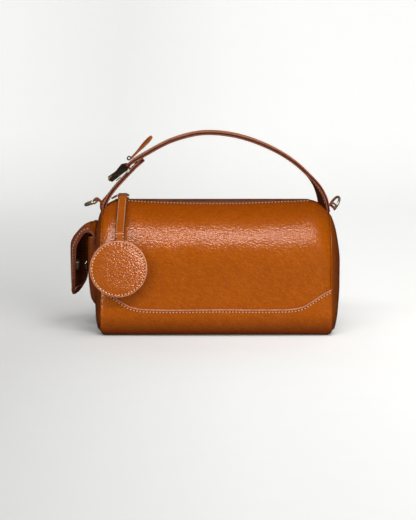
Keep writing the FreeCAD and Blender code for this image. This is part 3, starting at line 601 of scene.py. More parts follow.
def strap(name, frames, half_width, low, high, nodes, swell=0.15, taper=None, seam=None, finish=None, **options):
    """Leather strap of the handle, with painted edges and a shaded seam along them."""
    outline, painted = strap_outline(half_width, low, high, swell)
    bm = hose(carried(frames, outline, taper), paint=painted)
    if seam:
        for face in [face for face in bm.faces if face.material_index == 1]:
            middle = face.calc_center_median()
            place, side, up = min(frames, key=lambda spot: (spot[0] - middle).length_squared)
            if seam[0] < (middle - place).dot(up) < seam[1]:
                face.material_index = 2
    finishes = [finish or leather_strap, strap_edge, seam_shade]
    piece(bm, name, slot="tan_leather", finishes=finishes, nodes=nodes, **options)


def stitch_row(bm, stops, pitch=STITCH_PITCH, length=STITCH_LENGTH, thick=STITCH_THICK, closed=False):
    """Sewn thread along (place, up) stops: one short slanted stitch and one needle hole per pitch."""
    if closed:
        stops = stops + [stops[0]]
    marks = [0.0]
    for (start, _), (end, _) in zip(stops, stops[1:]):
        marks.append(marks[-1] + (end - start).length)
    count = max(int(round(marks[-1] / pitch)), 1)
    step = marks[-1] / count
    index = 0
    for nth in range(count):
        mark = (nth + 0.5) * step
        while marks[index + 1] < mark:
            index += 1
        share = (mark - marks[index]) / (marks[index + 1] - marks[index])
        place = stops[index][0].lerp(stops[index + 1][0], share)
        up = stops[index][1].lerp(stops[index + 1][1], share).normalized()
        way = (stops[index + 1][0] - stops[index][0]).normalized()
        way = (way + up.cross(way).normalized() * STITCH_SLANT).normalized()
        turn = Matrix((way, up.cross(way).normalized(), up)).transposed().to_4x4()
        grow = Matrix.Diagonal((length / 2, thick, thick * 0.8, 1.0))
        bmesh.ops.create_uvsphere(
            bm, u_segments=8, v_segments=6, radius=1.0,
            matrix=Matrix.Translation(place + up * thick * 0.15) @ turn @ grow @ Matrix.Rotation(math.pi / 2, 4, "Y"),
        )
        flat = Matrix.Diagonal(((step - length) * 0.55, thick * 1.1, 0.2, 1.0))
        made = bmesh.ops.create_icosphere(
            bm, subdivisions=1, radius=1.0, matrix=Matrix.Translation(place + way * (step / 2)) @ turn @ flat,
        )
        for face in {face for vertex in made["verts"] for face in vertex.link_faces}:
            face.material_index = 1


def ring_wire(points, radius, count):
    """Closed ring of round wire along a smooth curve."""
    places, ways = spline(points + [points[0]], count)
    up = ways[0].orthogonal().normalized()
    rows = []
    for place, way in zip(places[:-1], ways[:-1]):
        side = way.cross(up).normalized()
        up = side.cross(way).normalized()
        rows.append(circle(place, side * radius, up * radius, 10))
    return hose(rows, joined=True)


# Finishes

def new_material(name):
    """Empty material with its output and main shader."""
    made = bpy.data.materials.new(name)
    made.use_nodes = True
    tree = made.node_tree
    tree.nodes.clear()
    output = tree.nodes.new("ShaderNodeOutputMaterial")
    shader = tree.nodes.new("ShaderNodeBsdfPrincipled")
    tree.links.new(shader.outputs["BSDF"], output.inputs["Surface"])
    return made, tree, shader


def feed(tree, socket, value):
    """Links another socket to this one, or gives it a constant."""
    if isinstance(value, bpy.types.NodeSocket):
        tree.links.new(value, socket)
    else:
        socket.default_value = value


def node(tree, kind, inputs=None, **settings):
    """Node with its settings, constants and links."""
    made = tree.nodes.new(kind)
    for key, value in settings.items():
        setattr(made, key, value)
    for key, value in (inputs or {}).items():
        feed(tree, made.inputs[key], value)
    return made


def ramp(tree, source, stops):
    """Colour ramp over a mask."""
    made = node(tree, "ShaderNodeValToRGB", {"Fac": source})
    elements = made.color_ramp.elements
    while len(elements) < len(stops):
        elements.new(0.5)
    for element, (place, colour) in zip(elements, stops):
        element.position = place
        element.color = (*colour, 1.0)
    return made.outputs["Color"]


def number(tree, operation, first, second=0.0, third=0.0):
    """Math node."""
    return node(tree, "ShaderNodeMath", {0: first, 1: second, 2: third}, operation=operation).outputs["Value"]


def ranged(tree, value, low, high, start=0.0, end=1.0, **settings):
    """Value mapped from one range to another."""
    inputs = {"Value": value, "From Min": low, "From Max": high, "To Min": start, "To Max": end}
    return node(tree, "ShaderNodeMapRange", inputs, **settings).outputs["Result"]


def cloudy(tree, where, scale, detail, roughness=0.5):
    """Grey noise."""
    inputs = {"Vector": where, "Scale": scale, "Detail": detail, "Roughness": roughness}
    return node(tree, "ShaderNodeTexNoise", inputs).outputs["Fac"]


def mixed(tree, share, first, second):
    """Colour mix."""
    made = node(tree, "ShaderNodeMix", {0: share}, data_type="RGBA")
    for index, colour in ((6, first), (7, second)):
        linked = isinstance(colour, bpy.types.NodeSocket)
        feed(tree, made.inputs[index], colour if linked else (*colour, 1.0))
    return made.outputs[2]


def object_place(tree):
    """Place in the object's own coordinates."""
    return node(tree, "ShaderNodeTexCoord").outputs["Object"]


def dress(tree, shader, tone, roughness, height, strength, depth):
    """Gives a shader its colour, roughness and bump."""
    feed(tree, shader.inputs["Base Color"], tone)
    feed(tree, shader.inputs["Roughness"], roughness)
    bump = node(tree, "ShaderNodeBump", {"Height": height, "Strength": strength, "Distance": depth})
    feed(tree, shader.inputs["Normal"], bump.outputs["Normal"])


def new_group(name, inputs, outputs):
    """Shader node group with named inputs and outputs."""
    tree = bpy.data.node_groups.new(name, "ShaderNodeTree")
    for title, kind, value in inputs:
        made = tree.interface.new_socket(name=title, in_out="INPUT", socket_type=kind)
        if value is not None:
            made.default_value = value
    for title in outputs:
        tree.interface.new_socket(name=title, in_out="OUTPUT", socket_type="NodeSocketFloat")
    return tree, tree.nodes.new("NodeGroupInput"), tree.nodes.new("NodeGroupOutput")


def pebble_group():
    """Pebbled grain of milled leather: rounded cells, creases between them, and fine pores."""
    tree, given, result = new_group(
        "pebble_grain",
        [
            ("Vector", "NodeSocketVector", None), ("Cells", "NodeSocketFloat", 520.0),
            ("Stretch", "NodeSocketFloat", 0.5),
        ],
        ["Height", "Crease", "Mottle", "Pebble"],
    )
    where = given.outputs["Vector"]
    scale = given.outputs["Cells"]

    def moved(operation, inputs):
        """Vector math node."""
        return node(tree, "ShaderNodeVectorMath", inputs, operation=operation).outputs["Vector"]

    wander = node(tree, "ShaderNodeTexNoise", {"Vector": where, "Scale": 90.0, "Detail": 2.0}).outputs["Color"]
    pushed = moved("SCALE", {0: moved("SUBTRACT", {0: wander, 1: (0.5, 0.5, 0.5)}), "Scale": 0.0014})
    bent = moved("ADD", {0: where, 1: pushed})
    turned = node(tree, "ShaderNodeMapping", {"Vector": bent, "Rotation": (0.0, -0.45, 0.0)}).outputs["Vector"]
    longer = node(tree, "ShaderNodeMapping", {"Vector": turned, "Scale": (0.7, 1.0, 1.15)}).outputs["Vector"]
    cells = node(
        tree, "ShaderNodeTexVoronoi", {"Vector": longer, "Scale": scale, "Smoothness": 0.35}, feature="SMOOTH_F1",
    )
    gaps = node(tree, "ShaderNodeTexVoronoi", {"Vector": longer, "Scale": scale}, feature="DISTANCE_TO_EDGE")
    small_scale = number(tree, "MULTIPLY", scale, 2.3)
    small = node(tree, "ShaderNodeTexVoronoi", {"Vector": bent, "Scale": small_scale}, feature="SMOOTH_F1")
    dome = number(tree, "SUBTRACT", 1.0, cells.outputs["Distance"])
    fine = number(tree, "SUBTRACT", 1.0, small.outputs["Distance"])
    crease = ranged(tree, gaps.outputs["Distance"], 0.0, 0.16, 1.0, 0.0)
    patches = ranged(tree, cloudy(tree, where, 38.0, 3.0, 0.6), 0.3, 0.7)
    height = number(tree, "MULTIPLY_ADD", fine, 0.14, dome)
    height = number(tree, "MULTIPLY_ADD", cloudy(tree, where, 2600.0, 2.0), 0.04, height)
    height = number(tree, "MULTIPLY_ADD", crease, -0.12, height)
    strength = number(tree, "MULTIPLY_ADD", patches, given.outputs["Stretch"], 1.0)
    feed(tree, result.inputs["Height"], number(tree, "MULTIPLY", height, strength))
    feed(tree, result.inputs["Crease"], crease)
    feed(tree, result.inputs["Mottle"], patches)
    each = node(tree, "ShaderNodeSeparateColor", {"Color": cells.outputs["Color"]})
    feed(tree, result.inputs["Pebble"], each.outputs[0])
    return tree


def leather_finish(name, dark, mid, light, cells, depth, rough, stretch=0.5, crest_darkening_base_shade=0.0):
    """Milled leather: lighter in random patches; darker in random cells, and darker in the creases, partly as their
    own tone and partly as painted shade of the grain; darker towards the crest, with painted shade where the base
    rolls under.
    """
    made, tree, shader = new_material(name)
    where = object_place(tree)
    inputs = {"Vector": where, "Cells": cells, "Stretch": stretch}
    grain = node(tree, "ShaderNodeGroup", inputs, node_tree=pebble).outputs
    tone = ramp(tree, grain["Mottle"], [(0.0, mid), (0.55, mid), (1.0, light)])
    # Creases darker: partly their own tone, partly painted shade of the grain's relief. Random cells darker as their
    # own tone.
    cell_tone_and_crease_shade = number(tree, "MULTIPLY", grain["Crease"], 0.3)
    cell_tone_and_crease_shade = number(tree, "MULTIPLY_ADD", grain["Pebble"], 0.3, cell_tone_and_crease_shade)
    tone = mixed(tree, cell_tone_and_crease_shade, tone, dark)
    if crest_darkening_base_shade:
        # Darker towards the crest; painted shade where the base rolls under towards the floor.
        z = node(tree, "ShaderNodeSeparateXYZ", {"Vector": where}).outputs["Z"]
        top = ranged(tree, z, 0.098, 0.122, interpolation_type="SMOOTHSTEP")
        low = ranged(tree, z, 0.024, 0.002, interpolation_type="SMOOTHSTEP")
        tone = mixed(tree, number(tree, "MULTIPLY", top, crest_darkening_base_shade), tone, dark)
        tone = mixed(tree, number(tree, "MULTIPLY", low, 0.85), tone, [share * 0.5 for share in dark])
    roughness = number(tree, "MULTIPLY_ADD", grain["Crease"], 0.05, rough)
    roughness = number(tree, "MULTIPLY_ADD", grain["Mottle"], 0.03, roughness)
    dress(tree, shader, tone, roughness, grain["Height"], 1.0, depth)
    shader.inputs["Specular IOR Level"].default_value = 0.9
    shader.inputs["Specular Tint"].default_value = (1.0, 0.78, 0.68, 1.0)
    return made


def thread_finish(name, colour, dark):
    """Twisted sewing thread."""
    made, tree, shader = new_material(name)
    twist = cloudy(tree, object_place(tree), 1500.0, 2.0)
    dress(tree, shader, ramp(tree, twist, [(0.35, dark), (0.6, colour)]), 0.6, twist, 0.6, 0.0002)
    return made


def paint_finish(name, colour, deep):
    """Edge paint with faint brush marks and rubbed spots."""
    made, tree, shader = new_material(name)
    marks = cloudy(tree, object_place(tree), 260.0, 3.0)
    roughness = number(tree, "MULTIPLY_ADD", marks, 0.2, 0.32)
    dress(tree, shader, ramp(tree, marks, [(0.3, deep), (0.65, colour)]), roughness, marks, 0.4, 0.0003)
    return made


def cloth_finish(name, colour, deep, pitch):
    """Woven cloth: two sets of crossing threads."""
    made, tree, shader = new_material(name)
    where = object_place(tree)
    parts = node(tree, "ShaderNodeSeparateXYZ", {"Vector": where})
    around = number(tree, "ADD", parts.outputs["Y"], parts.outputs["Z"])
    warp = number(tree, "SINE", number(tree, "MULTIPLY", parts.outputs["X"], 2 * math.pi / pitch))
    weft = number(tree, "SINE", number(tree, "MULTIPLY", around, 2 * math.pi / pitch))
    height = number(tree, "MULTIPLY_ADD", number(tree, "MULTIPLY", warp, weft), 0.5, 0.5)
    fuzz = cloudy(tree, where, 900.0, 2.0)
    shade = number(tree, "MULTIPLY_ADD", fuzz, 0.5, number(tree, "MULTIPLY", height, 0.5))
    dress(tree, shader, ramp(tree, shade, [(0.2, deep), (0.8, colour)]), 0.8, height, 0.5, 0.0003)
    shader.inputs["Sheen Weight"].default_value = 0.25
    return made


def metal_finish(name, colour, deep, rough, metal):
    """Plated metal: polished, with fine rub marks and a slightly deeper tone in places."""
    made, tree, shader = new_material(name)
    where = object_place(tree)
    tone = ramp(tree, cloudy(tree, where, 160.0, 3.0), [(0.35, deep), (0.6, colour)])
    scratches = cloudy(tree, where, 1400.0, 1.0)
    dress(tree, shader, tone, number(tree, "MULTIPLY_ADD", scratches, 0.12, rough), scratches, 0.15, 0.0001)
    shader.inputs["Metallic"].default_value = metal
    return made


def board_finish(name, colour, deep):
    """Pressed fibre board."""
    made, tree, shader = new_material(name)
    fibres = cloudy(tree, object_place(tree), 700.0, 4.0)
    dress(tree, shader, ramp(tree, fibres, [(0.3, deep), (0.7, colour)]), 0.85, fibres, 0.4, 0.0003)
    return made


pebble = pebble_group()
TAN = ((0.19, 0.030, 0.0006), (0.4, 0.087, 0.0004), (0.435, 0.097, 0.0005))
# Darker tan: painted shade for the ends of the bag, the side pocket and the flap's root.
END_TAN_PAINTED_SHADE = ((0.09, 0.014, 0.001), (0.235, 0.047, 0.0016), (0.28, 0.06, 0.002))
# Darkest tan: painted shade for the handle's inner layer, the flap's lining, the folds and the tag strap's edges.
DARK_TAN_PAINTED_SHADE = ((0.05, 0.008, 0.001), (0.12, 0.022, 0.003), (0.16, 0.03, 0.005))
leather_body = leather_finish("tan_pebbled_leather", *TAN, 480.0, 0.0002, 0.195, 0.4, 0.5)
leather_tag = leather_finish("tan_tag_leather", *TAN, 540.0, 0.00018, 0.225, 0.3)
leather_strap = leather_finish("tan_strap_leather", *TAN, 620.0, 0.00012, 0.3, 0.3)
end_leather_painted_shade = leather_finish("tan_end_leather_painted_shade", *END_TAN_PAINTED_SHADE, 560.0, 0.00011, 0.3, 0.5, 0.4)
dark_leather_painted_shade = leather_finish("tan_dark_leather_painted_shade", *DARK_TAN_PAINTED_SHADE, 760.0, 0.00014, 0.5)
strap_edge = paint_finish("strap_edge_paint", (0.42, 0.13, 0.07), (0.22, 0.05, 0.02))
seam_shade = paint_finish("seam_shade", (0.05, 0.01, 0.004), (0.03, 0.006, 0.002))
needle_hole = paint_finish("needle_hole_shade", (0.06, 0.008, 0.002), (0.035, 0.004, 0.001))
edge_paint = paint_finish("edge_paint_reddish_brown", (0.24, 0.06, 0.026), (0.14, 0.03, 0.012))
# Light edge paint: a painted highlight on the overlay's bead and the tag's rim.
edge_paint_highlight = paint_finish("edge_paint_painted_highlight", (0.62, 0.25, 0.15), (0.42, 0.13, 0.06))
thread = thread_finish("cream_thread", (0.817, 0.502, 0.264), (0.602, 0.304, 0.125))
lining_cloth = cloth_finish("lining_cloth", (0.16, 0.08, 0.045), (0.07, 0.03, 0.018), 0.0009)
tape_cloth = cloth_finish("zip_tape_cloth", (0.24, 0.06, 0.022), (0.12, 0.028, 0.01), 0.0008)
pale_gold = metal_finish("pale_gold_plate", (0.88, 0.78, 0.58), (0.76, 0.64, 0.44), 0.18, 0.86)
# Near-white plate of the bar's sleeve: silver, lightened into a painted highlight.
painted_highlight_bar = metal_finish("silver_bar_plate_painted_highlight", (0.95, 0.9, 0.8), (0.86, 0.8, 0.68), 0.28, 0.25)
brushed_brass = metal_finish("brushed_brass", (0.66, 0.44, 0.2), (0.5, 0.32, 0.13), 0.34, 0.6)
zip_metal = metal_finish("zip_brass", (0.26, 0.085, 0.035), (0.16, 0.05, 0.02), 0.34, 0.3)
# Dark brass of the buckle's frame and prong.
dark_brass = metal_finish("dark_brass_plate", (0.13, 0.09, 0.055), (0.06, 0.04, 0.025), 0.22, 0.8)
board_fibre = board_finish("fibre_board", (0.2, 0.14, 0.09), (0.09, 0.06, 0.04))


# Leather barrel

def barrel_sheet(profile):
    """Sheet over the barrel: one row of points at each place along its length."""
    return sheet([[softened(point) for point in profile(x)] for x in between(-PANEL_HALF, PANEL_HALF, 76)])


def upper_profile(x, side):
    """Front (side 1) or back (side -1) panel from the zip slot down under the overlay."""
    half_depth, height = station(x)
    start = crown_degrees(x, slot_edge(x))
    points = []
    for degrees in between(start, 90.0, 30):
        points.append(crown(x, degrees, PANEL_INSET))
        if side > 0:
            points[-1].z -= LIP_SAG * bow(x, LIP_REACH) * (1 - ease((degrees - start) / LIP_SAG_DEGREES))
    points += [upright(x, z, PANEL_INSET) for z in between(height - half_depth, overlay_top(x) - OVERLAP, 9)[1:]]
    return [Vector((point.x, side * point.y, point.z)) for point in points]


def base_profile(x):
    """Base overlay from its front edge, under the bag and up to its back edge."""
    inwards = CORNER - station(x)[0]
    front = [upright(x, z) for z in between(overlay_top(x), CORNER, 9)]
    for angle in turns(0.0, 90.0, 6)[1:]:
        front.append(Vector((x, inwards - CORNER * math.cos(angle), CORNER - CORNER * math.sin(angle))))
    front += [Vector((x, y, 0.0)) for y in between(inwards, 0.0, 7)[1:]]
    return mirrored(front)


def make_barrel():
    """Panels and base, and the stitches on them."""
    for name, side in (("front", 1), ("back", -1)):
        bm = barrel_sheet(lambda x: upper_profile(x, side))
        leather(bm, name + "_leather", name + "_panel", wall=PANEL_WALL, rim=1, round_edge=ROUND_EDGE)
    leather(barrel_sheet(base_profile), "base_leather", "base_panel", wall=BASE_WALL, rim=1, round_edge=ROUND_EDGE)

    # painted bead along the overlay's top edge, light as a painted highlight, and the stitches below it
    bead = bmesh.new()
    sewn = bmesh.new()
    places = between(-PANEL_HALF, PANEL_HALF, 140)
    for front in (1, -1):
        edge = [softened(upright(x, overlay_top(x) - OVERLAY_BEAD_DROP, OVERLAY_BEAD_INSET, front)) for x in places]
        deep, high = OVERLAY_BEAD
        skin(bead, [circle(place, Y_WAY * deep, Z_WAY * high, 8) for place in edge], ring=True, caps=True)
        seam = [softened(upright(x, overlay_top(x) - OVERLAY_SEAM, 0.0, front)) for x in places]
        stitch_row(sewn, [(place, Y_WAY * -front) for place in seam])
    outwards(bead)
    piece(bead, "base_overlay_edge", "bag", "edge_leather", [edge_paint_highlight])
    stitches(sewn, "base_overlay_stitches")

    # stitches beside the zip
    sewn = bmesh.new()
    for front in (1, -1):
        stops = []
        for x in between(*ZIP_SEAM_ENDS, 90):
            half_depth, height = station(x)
            away = slot_edge(x) + ZIP_SEAM + ZIP_SEAM_GAPE * bow(x, SLOT_REACH)
            place = crown(x, crown_degrees(x, away), PANEL_INSET)
            if front > 0:
                place.z -= ZIP_SEAM_SAG * bow(x, LIP_REACH)
            up = Vector((0.0, place.y, place.z - height + half_depth)).normalized()
            place.y *= front
            up.y *= front
            stops.append((softened(place), up))
        stitch_row(sewn, stops)
    stitches(sewn, "zip_stitches")


def make_ends():
    """Gussets that dome outwards and the welts in their seams."""
    for name, side in (("left", -1), ("right", 1)):
        half_depth, height = station(side * HALF_LENGTH)
        rows = []
        for step in between(0.0, 1.0, 15):
            share = DOME_REACH * step ** DOME_SPREAD
            inset = min(PANEL_INSET + share * half_depth, half_depth - DOME_LEAST)
            outline = round_section(half_depth, height, inset)
            rows.append([softened(Vector((side * dome_out(side, share), y, z))) for y, z in outline])
        bm = bmesh.new()
        skin(bm, rows, ring=True)
        loop = [edge for edge in bm.edges if edge.is_boundary and abs(edge.verts[0].co.x) > PANEL_HALF + 5.0]
        bmesh.ops.contextual_create(bm, geom=loop)
        outwards(bm, BARREL_MIDDLE)
        # The gusset takes the darker tan of painted shade.
        leather(bm, name + "_end_leather", name + "_gusset", end_leather_painted_shade, wall=PANEL_WALL, rim=1)

        outline = round_section(half_depth, height, WELT_INSET, 20)
        rows = []
        for index, (y, z) in enumerate(outline):
            before = outline[index - 1]
            after = outline[(index + 1) % len(outline)]
            way = Vector((0.0, after[0] - before[0], after[1] - before[1])).normalized()
            centre = softened(Vector((side * (PANEL_HALF + WELT_OUT), y, z)))
            rows.append(circle(centre, X_WAY * WELT_CORD[0], way.cross(X_WAY) * WELT_CORD[1], 10))
        piece(hose(rows, joined=True), name + "_welt_cord", "bag", "edge_leather", [leather_body], [name + "_welt"])


def make_inside():
    """Lining and slip pocket."""
    rows = []
    for x in between(-LINING_HALF, LINING_HALF, 40):
        half_depth, height = station(x)
        side = half_depth - LINING_INSET
        open_here = LINING_SLOT[0] < x < LINING_SLOT[1]
        start = math.degrees(math.asin(LINING_SLOT_HALF / side)) if open_here else 0.0
        front = [crown(x, degrees, LINING_INSET) for degrees in between(start, 90.0, 16)]
        front += [Vector((x, -side, z)) for z in between(height - half_depth, LINING_INSET + LINING_CORNER, 8)[1:]]
        front += [Vector((x, y, LINING_INSET)) for y in between(LINING_CORNER - side, 0.0, 8)]
        rows.append(mirrored(front))
    bm = sheet(rows)
    ends = []
    for edge in bm.edges:
        if edge.is_boundary and all(abs(abs(vertex.co.x) - LINING_HALF) < 0.5 for vertex in edge.verts):
            ends.append(edge)
    bmesh.ops.holes_fill(bm, edges=ends, sides=0)
    piece(bm, "lining_fabric", "bag", "lining_fabric", [lining_cloth], ["lining"], wall=LINING_WALL)

    rows = []
    for x in between(*SLIP_POCKET_ENDS, 20):
        half_depth, height = station(x)
        radius = half_depth - SLIP_POCKET_INSET
        rises = [(z, max(z - (height - half_depth), 0.0)) for z in between(*SLIP_POCKET_HEIGHTS, 14)]
        rows.append([Vector((x, math.sqrt(radius * radius - rise * rise), z)) for z, rise in rises])
    piece(
        sheet(rows), "slip_pocket_fabric", "bag", "lining_fabric", [lining_cloth], ["slip_pocket"],
        wall=SLIP_POCKET_WALL,
    )


# Zip

def make_zip():
    """Cloth tapes, and the leather ends that close the slot past the zip."""
    for name, side in (("front", -1), ("back", 1)):
        rows = []
        for x in between(*TAPE_ENDS, 60):
            half_depth, height = station(x)
            radius = half_depth - TAPE_DEPTH
            sag = LIP_SAG * bow(x, LIP_REACH) if side < 0 else 0.0
            row = []
            for y in between(*TAPE_EDGES, 8):
                z = height - half_depth + math.sqrt(radius * radius - y * y) - sag * ease(y / TAPE_SAG_WIDTH)
                row.append(softened(Vector((x, side * y, z))))
            rows.append(row)
        node_name = name + "_zip_tape"
        piece(sheet(rows), name + "_zip_cloth", "bag", "zip_tape", [tape_cloth], [node_name], wall=TAPE_WALL)

    for name, first, last in PATCHES:
        rows = []
        for x in between(first, last, 10):
            rows.append([softened(crown(x, degrees, PATCH_WALL)) for degrees in between(*PATCH_DEGREES, 9)])
        leather(sheet(rows), name + "_zip_patch", name + "_zip_end", wall=PATCH_WALL, rim=1)


# Tag and its strap

def tag_frame():
    """Centre of the tag, its upward, outward and sideways directions."""
    half_stack = TAG_LEATHER + STRAP_LEATHER / 2
    reach = TAG_RADIUS * (math.sin(TAG_LEAN) + TAG_TURN_SHARE * math.sin(TAG_TURN))
    centre = Vector((SLIDER_X - TAG_OFFSET, -TAG_SEAT - half_stack * math.cos(TAG_LEAN) - reach, TAG_Z))
    up = Vector((0.0, -math.sin(TAG_LEAN), math.cos(TAG_LEAN)))
    turn = Matrix.Rotation(TAG_TURN, 3, up)
    out = turn @ Vector((0.0, -math.cos(TAG_LEAN), -math.sin(TAG_LEAN)))
    return centre, up, out, turn @ X_WAY


def make_discs(centre, up, out, wide):
    """Two discs of leather, sewn together over a stiffener."""
    def ring_at(radius, lift, count=96):
        """Points round the tag's axis."""
        return circle(centre + out * lift, wide * radius, up * radius, count)

    inner = STRAP_LEATHER / 2
    sewn = bmesh.new()
    for name, side in (("front", 1), ("back", -1)):
        bm = hose([ring_at(TAG_RADIUS - inset, side * (inner + lift)) for inset, lift in TAG_PROFILE])
        # The rim band takes the light edge paint: a painted highlight.
        for face in bm.faces:
            if abs((face.calc_center_median() - centre).length - TAG_RADIUS) < TAG_PAINTED and len(face.verts) == 4:
                face.material_index = 1
        leather(bm, f"tag_{name}_leather", f"tag_{name}_disc", leather_tag, "tag", edge=edge_paint_highlight)
        seam = ring_at(TAG_SEAM, side * (inner + TAG_SEAM_LIFT))
        stitch_row(sewn, [(place, out * side) for place in seam], closed=True)
    stitches(sewn, "tag_stitches", "tag")

    half, rim = STIFFENER_HALF, STIFFENER_RADIUS
    rows = [
        ring_at(radius, lift, 64)
        for radius, lift in ((1.0, -half), (rim, -half), (rim + half, 0.0), (rim, half), (1.0, half))
    ]
    piece(hose(rows), "tag_stiffener_board", "tag", "board", [board_fibre], ["tag_stiffener"])


def make_tag_strap(rim, up):
    """Doubled strap from the pull ring over the crown to the rim of the tag."""
    path = [RING_FOLD + Vector((0.0, -TAG_STRAP_START - STRAP_LEATHER, 0.0))]
    for degrees in TAG_STRAP_DEGREES:
        angle = math.radians(degrees)
        drape = Vector((0.0, -math.sin(angle), math.cos(angle))) * TAG_STRAP_DRAPE
        path.append(Vector((SLIDER_X, 0.0, ARCH_Z)) + drape)
    path += [rim + up * TAG_STRAP_ABOVE + Y_WAY * STRAP_LEATHER, rim, rim - up * TAG_STRAP_INTO]
    frames = []
    for place, side, normal in frames_on(path, 44, X_WAY):
        frames.append((place, side, -normal if normal.y > 0 else normal))
    fold = []
    for angle in turns(180.0, -10.0, 15):
        way = Vector((0.0, -math.cos(angle), math.sin(angle)))
        fold.append((RING_FOLD + way * (TAG_FOLD_RADIUS + STRAP_LEATHER / 2), X_WAY, way))

    bm = banded(frames[1:], TAG_STRAP_HALF, *TAG_STRAP_UPPER)
    # The strap's edges take the darkest tan: painted shade beside the strap as well as its dark edge.
    leather(bm, "tag_strap_leather", "tag_strap", leather_strap, "tag", edge=dark_leather_painted_shade)
    bm = banded(fold, TAG_STRAP_HALF, *TAG_STRAP_FOLD, 0.0)
    # The fold round the ring takes the darkest tan: painted shade.
    leather(bm, "tag_strap_fold_leather", None, dark_leather_painted_shade, "tag")
    bm = banded(frames[1:-4], TAG_STRAP_HALF, *TAG_STRAP_UNDER, 0.0)
    leather(bm, "tag_strap_under_leather", None, leather_strap, "tag")
    sewn = bmesh.new()
    for offset in (-TAG_STRAP_SEAM, TAG_STRAP_SEAM):
        stops = []
        for place, side, normal in frames[4:-4]:
            stops.append((place + side * offset + normal * TAG_STRAP_SEAM_LIFT, normal))
        stitch_row(sewn, stops, **TAG_STRAP_STITCH)
    stitches(sewn, "tag_strap_stitches", "tag")


def make_tag():
    """Tag, its strap and the slim ring that carries them, hanging askew to the left."""
    centre, up, out, wide = tag_frame()
    make_discs(centre, up, out, wide)
    make_tag_strap(centre + X_WAY * TAG_OFFSET + up * TAG_RADIUS, up)
    bm = ring_wire([Vector(point) for point in PULL_RING], PULL_RING_WIRE, 64)
    piece(bm, "pull_ring_wire", "pull", "pale_gold", [pale_gold], ["pull_ring"])


# Handle and buckle

def handle_line(shares):
    """Points of a strap from shares of the half length and of the rise above the crown."""
    return [Vector((along * HALF_LENGTH, 0.0, HEIGHT + rise * HANDLE_RISE)) for along, rise in shares]


def seam_stitches(name, frames):
    """Stitches along both edges of a strap of the handle, on both its faces."""
    sewn = bmesh.new()
    for offset in (-HANDLE_SEAM, HANDLE_SEAM):
        for face in (1, -1):
            lift = face * HANDLE_SEAM_LIFT
            stitch_row(sewn, [(place + side * offset + up * lift, up * face) for place, side, up in frames])
    stitches(sewn, name, blend_to=CROSSING)


def make_layers(name, root, frames, layers, finishes, taper=None):
    """Outer and inner layer of a strap; the outer one also stands for the strap's root."""
    kinds = (("outer", [f"{name}_outer_layer", root]), ("inner", [f"{name}_inner_layer"]))
    for (kind, nodes), (low, high), seam, finish in zip(kinds, layers, EDGE_SEAMS, finishes):
        strap(
            f"{name}_{kind}_leather", frames, HANDLE_HALF, low, high, nodes,
            taper=taper, seam=seam, finish=finish, body="bag", blend_to=CROSSING,
        )


def make_handle():
    """Two layers of the handle and of its anchor strap, their stitches and the loose tongue."""
    frames = frames_on(handle_line(HANDLE), 120, twist=lambda share: HANDLE_TWIST * ease((share - 0.8) / 0.2))[2:]
    # The inner layer takes the darkest tan: painted shade.
    make_layers("handle", "right_handle_root", frames, HANDLE_LAYERS, (None, dark_leather_painted_shade))
    seam_stitches("handle_stitches", frames[3:-4])

    frames = frames_on(handle_line(ANCHOR), 60, twist=lambda share: ANCHOR_TWIST * ease((0.4 - share) / 0.4))
    point = lambda share: math.sqrt(max(1 - clamp((share - 0.88) / 0.125, 0.0, 1.0) ** 2, 0.12))
    make_layers("anchor", "left_handle_root", frames, ANCHOR_LAYERS, (None, None), point)
    seam_stitches("anchor_stitches", frames[2:-10])

    frames = frames_on(handle_line(TONGUE), 30, twist=lambda share: TONGUE_TWIST * ease(share / 0.7))
    leaf = lambda share: 0.5 + 0.5 * ease(share / 0.65) - 0.7 * clamp((share - 0.82) / 0.18, 0.0, 1.0) ** 2.2
    low, high = TONGUE_LAYER
    strap("tongue_leather", frames, TONGUE_HALF, low, high, ["strap_tongue"], swell=0.5, taper=leaf, body="handle")


def make_fold():
    """Leather folds either side of the prong slot, round the buckle bar."""
    bm = bmesh.new()
    outline, _ = strap_outline(FOLD_HALF, FOLD_RADIUS, FOLD_RADIUS + FOLD_LEATHER, 0.1)
    for side in (-1, 1):
        middle = BAR + Y_WAY * (side * FOLD_MIDDLE)
        frames = [(middle, Y_WAY, way) for way in circle(Vector(), X_WAY, Z_WAY, 40)]
        skin(bm, carried(frames, outline), ring=True, tube=True)
    outwards(bm)
    # The folds take the darkest tan: painted shade.
    leather(bm, "buckle_fold_leather", "buckle_fold", dark_leather_painted_shade, "handle")


def make_buckle_ends():
    """Near-white sleeve on the buckle's bar, silver lightened as painted highlight, and the block at the tip of its
    frame.
    """
    for name, centre, wide, deep, thick, body, finish in (
        ("buckle_bar_sleeve", BAR + Vector((1.0, 0.0, -0.9)), 7.4, 25.4, 3.6, "handle", painted_highlight_bar),
        ("buckle_tip_block", Vector((-103.9, 0.0, 148.3)), 4.2, 24.5, 5.0, "buckle", brushed_brass),
    ):
        bm = bmesh.new()
        turn = Matrix.Translation(centre) @ Matrix.Rotation(BUCKLE_SLOPE, 4, "Y")
        bmesh.ops.create_cube(bm, size=1.0, matrix=turn @ Matrix.Diagonal((wide, deep, thick, 1.0)))
        bmesh.ops.bevel(bm, geom=bm.edges[:], offset=BUCKLE_ROUND, segments=3, affect="EDGES")
        outwards(bm)
        piece(bm, name, body, "pale_gold", [finish])


# Side rings and their tabs

